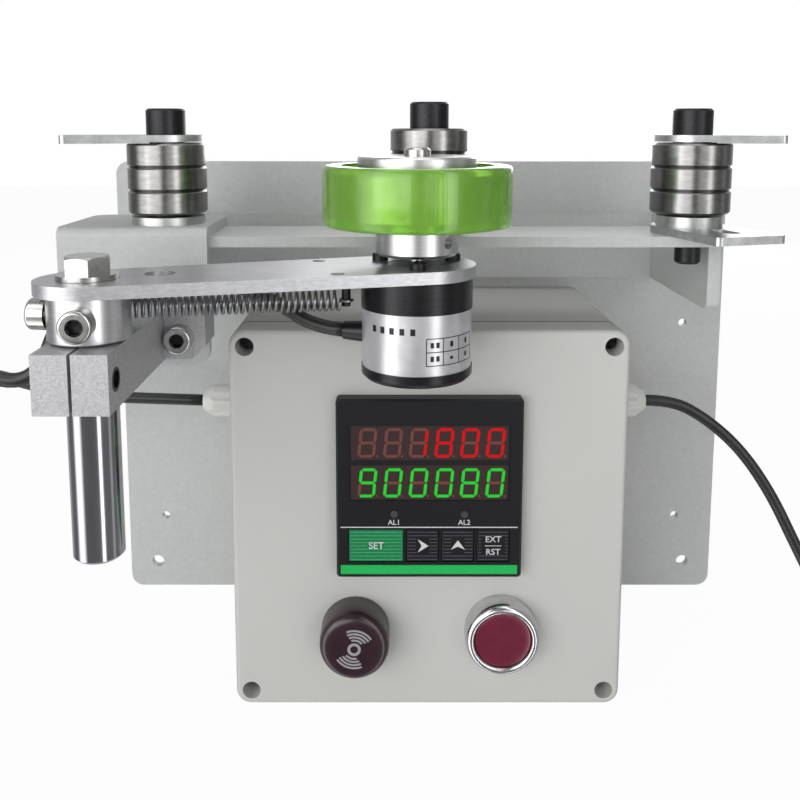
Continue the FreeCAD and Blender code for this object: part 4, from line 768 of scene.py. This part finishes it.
# from the right gland down to the floor, and the tail that leads from the coil's top to the plug
MAINS_ROUTE = [(98.5, 6, 110.7), (111.5, 6, 110.7), (126.5, 5, 102.7), (141.5, 2, 89.7), (154.5, -2, 70.7),
               (165.5, -5, 47.7), (176.5, -8, 25.7), (190.5, -8, 9), (210.5, -3, 2.5), (236.5, 4, 2.5),
               (248.0, 13.4, 2.5)]
MAINS_TAIL = [(276.0, 17.0, 12.7), (288.0, 28.0, 12.7), (293.0, 44.0, 12.7), (289.0, 59.0, 12.7),
              (278.0, 69.0, 12.7), (266.0, 74.0, 12.3), (262.0, 81.0, 9.4), (262.0, 89.0, 9.0)]
COIL_X, COIL_Y, COIL_RADII, COIL_LAYER = 262.0, 45.0, (31.6, 26.4, 21.2), 5.1
COIL_POINTS, COIL_CROSSING = 14, 0.28          # points a turn, and the share of it spent on stepping over
# from the encoder's cap back over the pivot, round on the left and into the left gland
ENCODER_ROUTE = [(-31.2, -75.1, 162), (-42, -72.2, 162.5), (-54, -70.8, 170.3), (-66, -71.8, 176.5),
                 (-80.5, -76, 179.4), (-97.5, -84.5, 179.2), (-110, -87.5, 176.7), (-124.5, -89.5, 172.3),
                 (-133, -93.5, 146.5), (-158, -92.5, 153), (-183.5, -78, 155.8), (-200.5, -55, 151),
                 (-208.5, -28, 139.7), (-206, -6, 128.7), (-189.9, 6, 122.3), (-176.3, 6, 117.5),
                 (-150.5, 6, 112.6), (-128.5, 6, 111.7), (-98.5, 6, 110.7)]


def spline(name, points):
    """A smooth open curve that a list of points steers."""
    curve = bpy.data.curves.new(name, "CURVE")
    curve.dimensions = "3D"
    line = curve.splines.new("NURBS")
    line.points.add(len(points) - 1)
    for point, place in zip(line.points, points):
        point.co = tuple(c * MM for c in place) + (1.0,)
    line.order_u = 3
    line.use_endpoint_u = True
    line.resolution_u = 8
    return curve


def centre_line(name, points):
    """Points along the smooth curve, in metres."""
    return meshed(name + "_line", spline(name + "_line", points))[1]


def coil_turns():
    """Turns of the put-away length: three side by side, three on top going outwards, and one more."""
    points = []
    turns = [(r, 0) for r in COIL_RADII] + [(r, 1) for r in COIL_RADII[::-1]] + [(COIL_RADII[0], 2)]
    for (radius, layer), (later, upper) in zip(turns, turns[1:] + turns[-1:]):
        for share in np.arange(COIL_POINTS) / COIL_POINTS:
            angle = math.pi * (2 * share - 0.5)
            step = max(0.0, 1 - (1 - share) / COIL_CROSSING)
            r = radius + (later - radius) * step
            z = CORD_R + COIL_LAYER * (layer + (upper - layer) * step)
            points.append((COIL_X + r * math.cos(angle), COIL_Y + r * math.sin(angle), z))
    return points


def length_of(points):
    """Length of a line of points."""
    return float(np.linalg.norm(np.diff(points, axis=0), axis=1).sum())


def mains_lead():
    """Mains lead from the right gland to its plug, most of it in a coil on the floor."""
    route = MAINS_ROUTE + coil_turns() + MAINS_TAIL
    curve = spline("mains_lead_cord", route)
    curve.bevel_depth = CORD_R * MM
    curve.bevel_resolution = 5
    curve.use_fill_caps = True
    curve.materials.append(FINISH["pvc"])
    piece = bpy.data.objects.new("mains_lead_cord", curve)
    bpy.context.scene.collection.objects.link(piece)
    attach(piece, "frame")
    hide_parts("mains_lead", "mains_coil")
    length = length_of(centre_line("mains", route))


def encoder_lead():
    """Encoder's lead: a tube from the arm at one end to the frame at the other."""
    path = centre_line("encoder", ENCODER_ROUTE)
    points, faces = grid_tube(path / MM, CORD_R, 14)
    piece = mesh_piece("encoder_lead_cord", points, faces, "pvc", None)
    smooth(piece)
    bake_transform(piece)
    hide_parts("encoder_lead_arm", "encoder_lead")


# ---- stage, light and camera ----

FLOOR_SIZE = 6
FLOOR_WHITE = 0.96         # share of the floor that is plain white to the camera
AMBIENT = 0.24             # strength of the backdrop for diffuse light
# what polished metal sees: place across the whole turn from behind to behind, and brightness
ROOM = ((0.0, 0.65), (0.14, 0.6), (0.2, 0.25), (0.27, 0.25), (0.31, 3.0), (0.36, 3.0), (0.4, 0.24),
        (0.48, 0.2), (0.56, 0.24), (0.585, 0.3), (0.6, 4.0), (0.62, 4.0), (0.635, 0.3), (0.72, 0.25),
        (0.745, 0.8), (0.77, 0.25), (0.82, 0.25), (0.87, 0.6), (1.0, 0.65))
ROOM_FULL = 5              # brightness at the top of the curve that holds it
# name, place, what it faces, width and height, watts
LAMPS = (("key_light", (-0.75, -1.3, 0.45), (0, 0, 0.12), (1.2, 1.0), 13),
         ("fill_light", (0.6, -1.3, 0.4), (0, 0, 0.12), (0.9, 0.8), 3.0),
         ("back_light", (0.3, 1.4, 0.5), (0, 0, 0.12), (1.0, 0.8), 7),
         ("top_light", (0.0, -0.1, 1.3), (0, 0, 0.1), (0.9, 0.7), 2.0))


def softbox(name, place, aim, size, power):
    """A rectangular area lamp at a place, turned to face another."""
    lamp = bpy.data.lights.new(name, "AREA")
    lamp.shape = "RECTANGLE"
    lamp.size, lamp.size_y = size
    lamp.energy = power
    holder = bpy.data.objects.new(name, lamp)
    holder.location = place
    x, y, z = np.array(aim) - np.array(place)
    holder.rotation_euler = (math.atan2(math.hypot(x, y), -z), 0, math.atan2(y, x) - math.pi / 2)
    bpy.context.scene.collection.objects.link(holder)


def fed(tree, kind, sources, settings=()):
    """Adds a node and feeds its sockets in order, each from another's output or with a number."""
    node = add(tree, kind, settings)
    for place, source in zip(node.inputs, sources):
        if isinstance(source, (int, float)):
            place.default_value = source
        else:
            tree.links.new(source, place)
    return node.outputs[0]


def maths(tree, operation, *sources):
    """A Math node's result, fed in order."""
    return fed(tree, "ShaderNodeMath", sources, {"operation": operation})


def bounced(tree, rays):
    """One for a ray that comes off a gloss or through clear material, and else nought."""
    return maths(tree, "MAXIMUM", rays.outputs["Is Glossy Ray"], rays.outputs["Is Transmission Ray"])


def stage():
    """White paper floor. Reflections look through it, so that steel shows the room all the way down."""
    bpy.ops.mesh.primitive_plane_add(size=FLOOR_SIZE)
    floor = bpy.context.object
    floor.name = "floor"
    material, tree, shader = new_material("floor_paper", "#f2f2f2", roughness=0.9)
    rays = add(tree, "ShaderNodeLightPath")
    white = add(tree, "ShaderNodeEmission", {"Strength": 1.0})
    clear = add(tree, "ShaderNodeBsdfTransparent")
    share = maths(tree, "MULTIPLY", rays.outputs["Is Camera Ray"], FLOOR_WHITE)
    paper = fed(tree, "ShaderNodeMixShader", (share, shader.outputs[0], white.outputs[0]))
    surface = fed(tree, "ShaderNodeMixShader", (bounced(tree, rays), paper, clear.outputs[0]))
    tree.links.new(surface, tree.nodes["Material Output"].inputs["Surface"])
    floor.data.materials.append(material)


def studio():
    """White backdrop for the eye. Reflections show it behind, and a dim room with strip lamps in front."""
    world = bpy.data.worlds.new("studio")
    bpy.context.scene.world = world
    world.use_nodes = True
    tree = world.node_tree
    background = tree.nodes["Background"]
    background.inputs["Color"].default_value = (1, 1, 1, 1)
    place = add(tree, "ShaderNodeTexCoord")
    direction = add(tree, "ShaderNodeSeparateXYZ", Vector=place.outputs["Generated"])
    front = maths(tree, "MULTIPLY", direction.outputs["Y"], -1)
    angle = maths(tree, "ARCTAN2", direction.outputs["X"], front)
    turn = add(tree, "ShaderNodeMapRange", {"From Min": -math.pi, "From Max": math.pi}, Value=angle)
    room = add(tree, "ShaderNodeFloatCurve", Value=turn.outputs["Result"])
    room.mapping.use_clip = False
    line = room.mapping.curves[0]
    for across, level in ROOM[1:-1]:
        line.points.new(across, level / ROOM_FULL)
    for end in (0, -1):
        line.points[end].location = (ROOM[end][0], ROOM[end][1] / ROOM_FULL)
    for point in line.points:
        point.handle_type = "VECTOR"
    room.mapping.update()
    bright = maths(tree, "MULTIPLY", room.outputs["Value"], ROOM_FULL)
    rays = add(tree, "ShaderNodeLightPath")
    plain = add(tree, "ShaderNodeMapRange", {"To Min": AMBIENT, "To Max": 1.0},
                Value=rays.outputs["Is Camera Ray"])
    level = add(tree, "ShaderNodeMix", Factor=bounced(tree, rays), A=plain.outputs["Result"], B=bright)
    tree.links.new(level.outputs["Result"], background.inputs["Strength"])
    for lamp in LAMPS:
        softbox(*lamp)


FOCAL_PX = 880.0
IMAGE_PX = 800.0
AXIS_PX = (391.0, 240.0)       # where the lens's axis meets the frame
CAMERA_AT = (-14.8, -377.0, 233.0)
CAMERA_DOWN = 7.4              # degrees
SENSOR = 36.0                  # width, millimetres


def camera():
    """A lens that looks a little down, shifted so that its axis meets the frame above the middle."""
    lens = bpy.data.cameras.new("camera")
    lens.sensor_width = SENSOR
    lens.lens = SENSOR * FOCAL_PX / IMAGE_PX
    lens.shift_x = (IMAGE_PX / 2 - AXIS_PX[0]) / IMAGE_PX
    lens.shift_y = (AXIS_PX[1] - IMAGE_PX / 2) / IMAGE_PX
    lens.clip_start = 0.01
    holder = bpy.data.objects.new("camera", lens)
    holder.location = [c * MM for c in CAMERA_AT]
    holder.rotation_euler = (math.radians(90 - CAMERA_DOWN), 0, 0)
    bpy.context.scene.collection.objects.link(holder)
    bpy.context.scene.camera = holder


# ---- build ----

camera()
stage()
studio()
bpy.context.scene.view_settings.view_transform = "Standard"
finish_nodes()
mains_lead()
encoder_lead()
spring()
meter_face()
key_prints()
tyre()
controls()
sockets_with_painted_shade()
buzzer_mark()
label_prints()
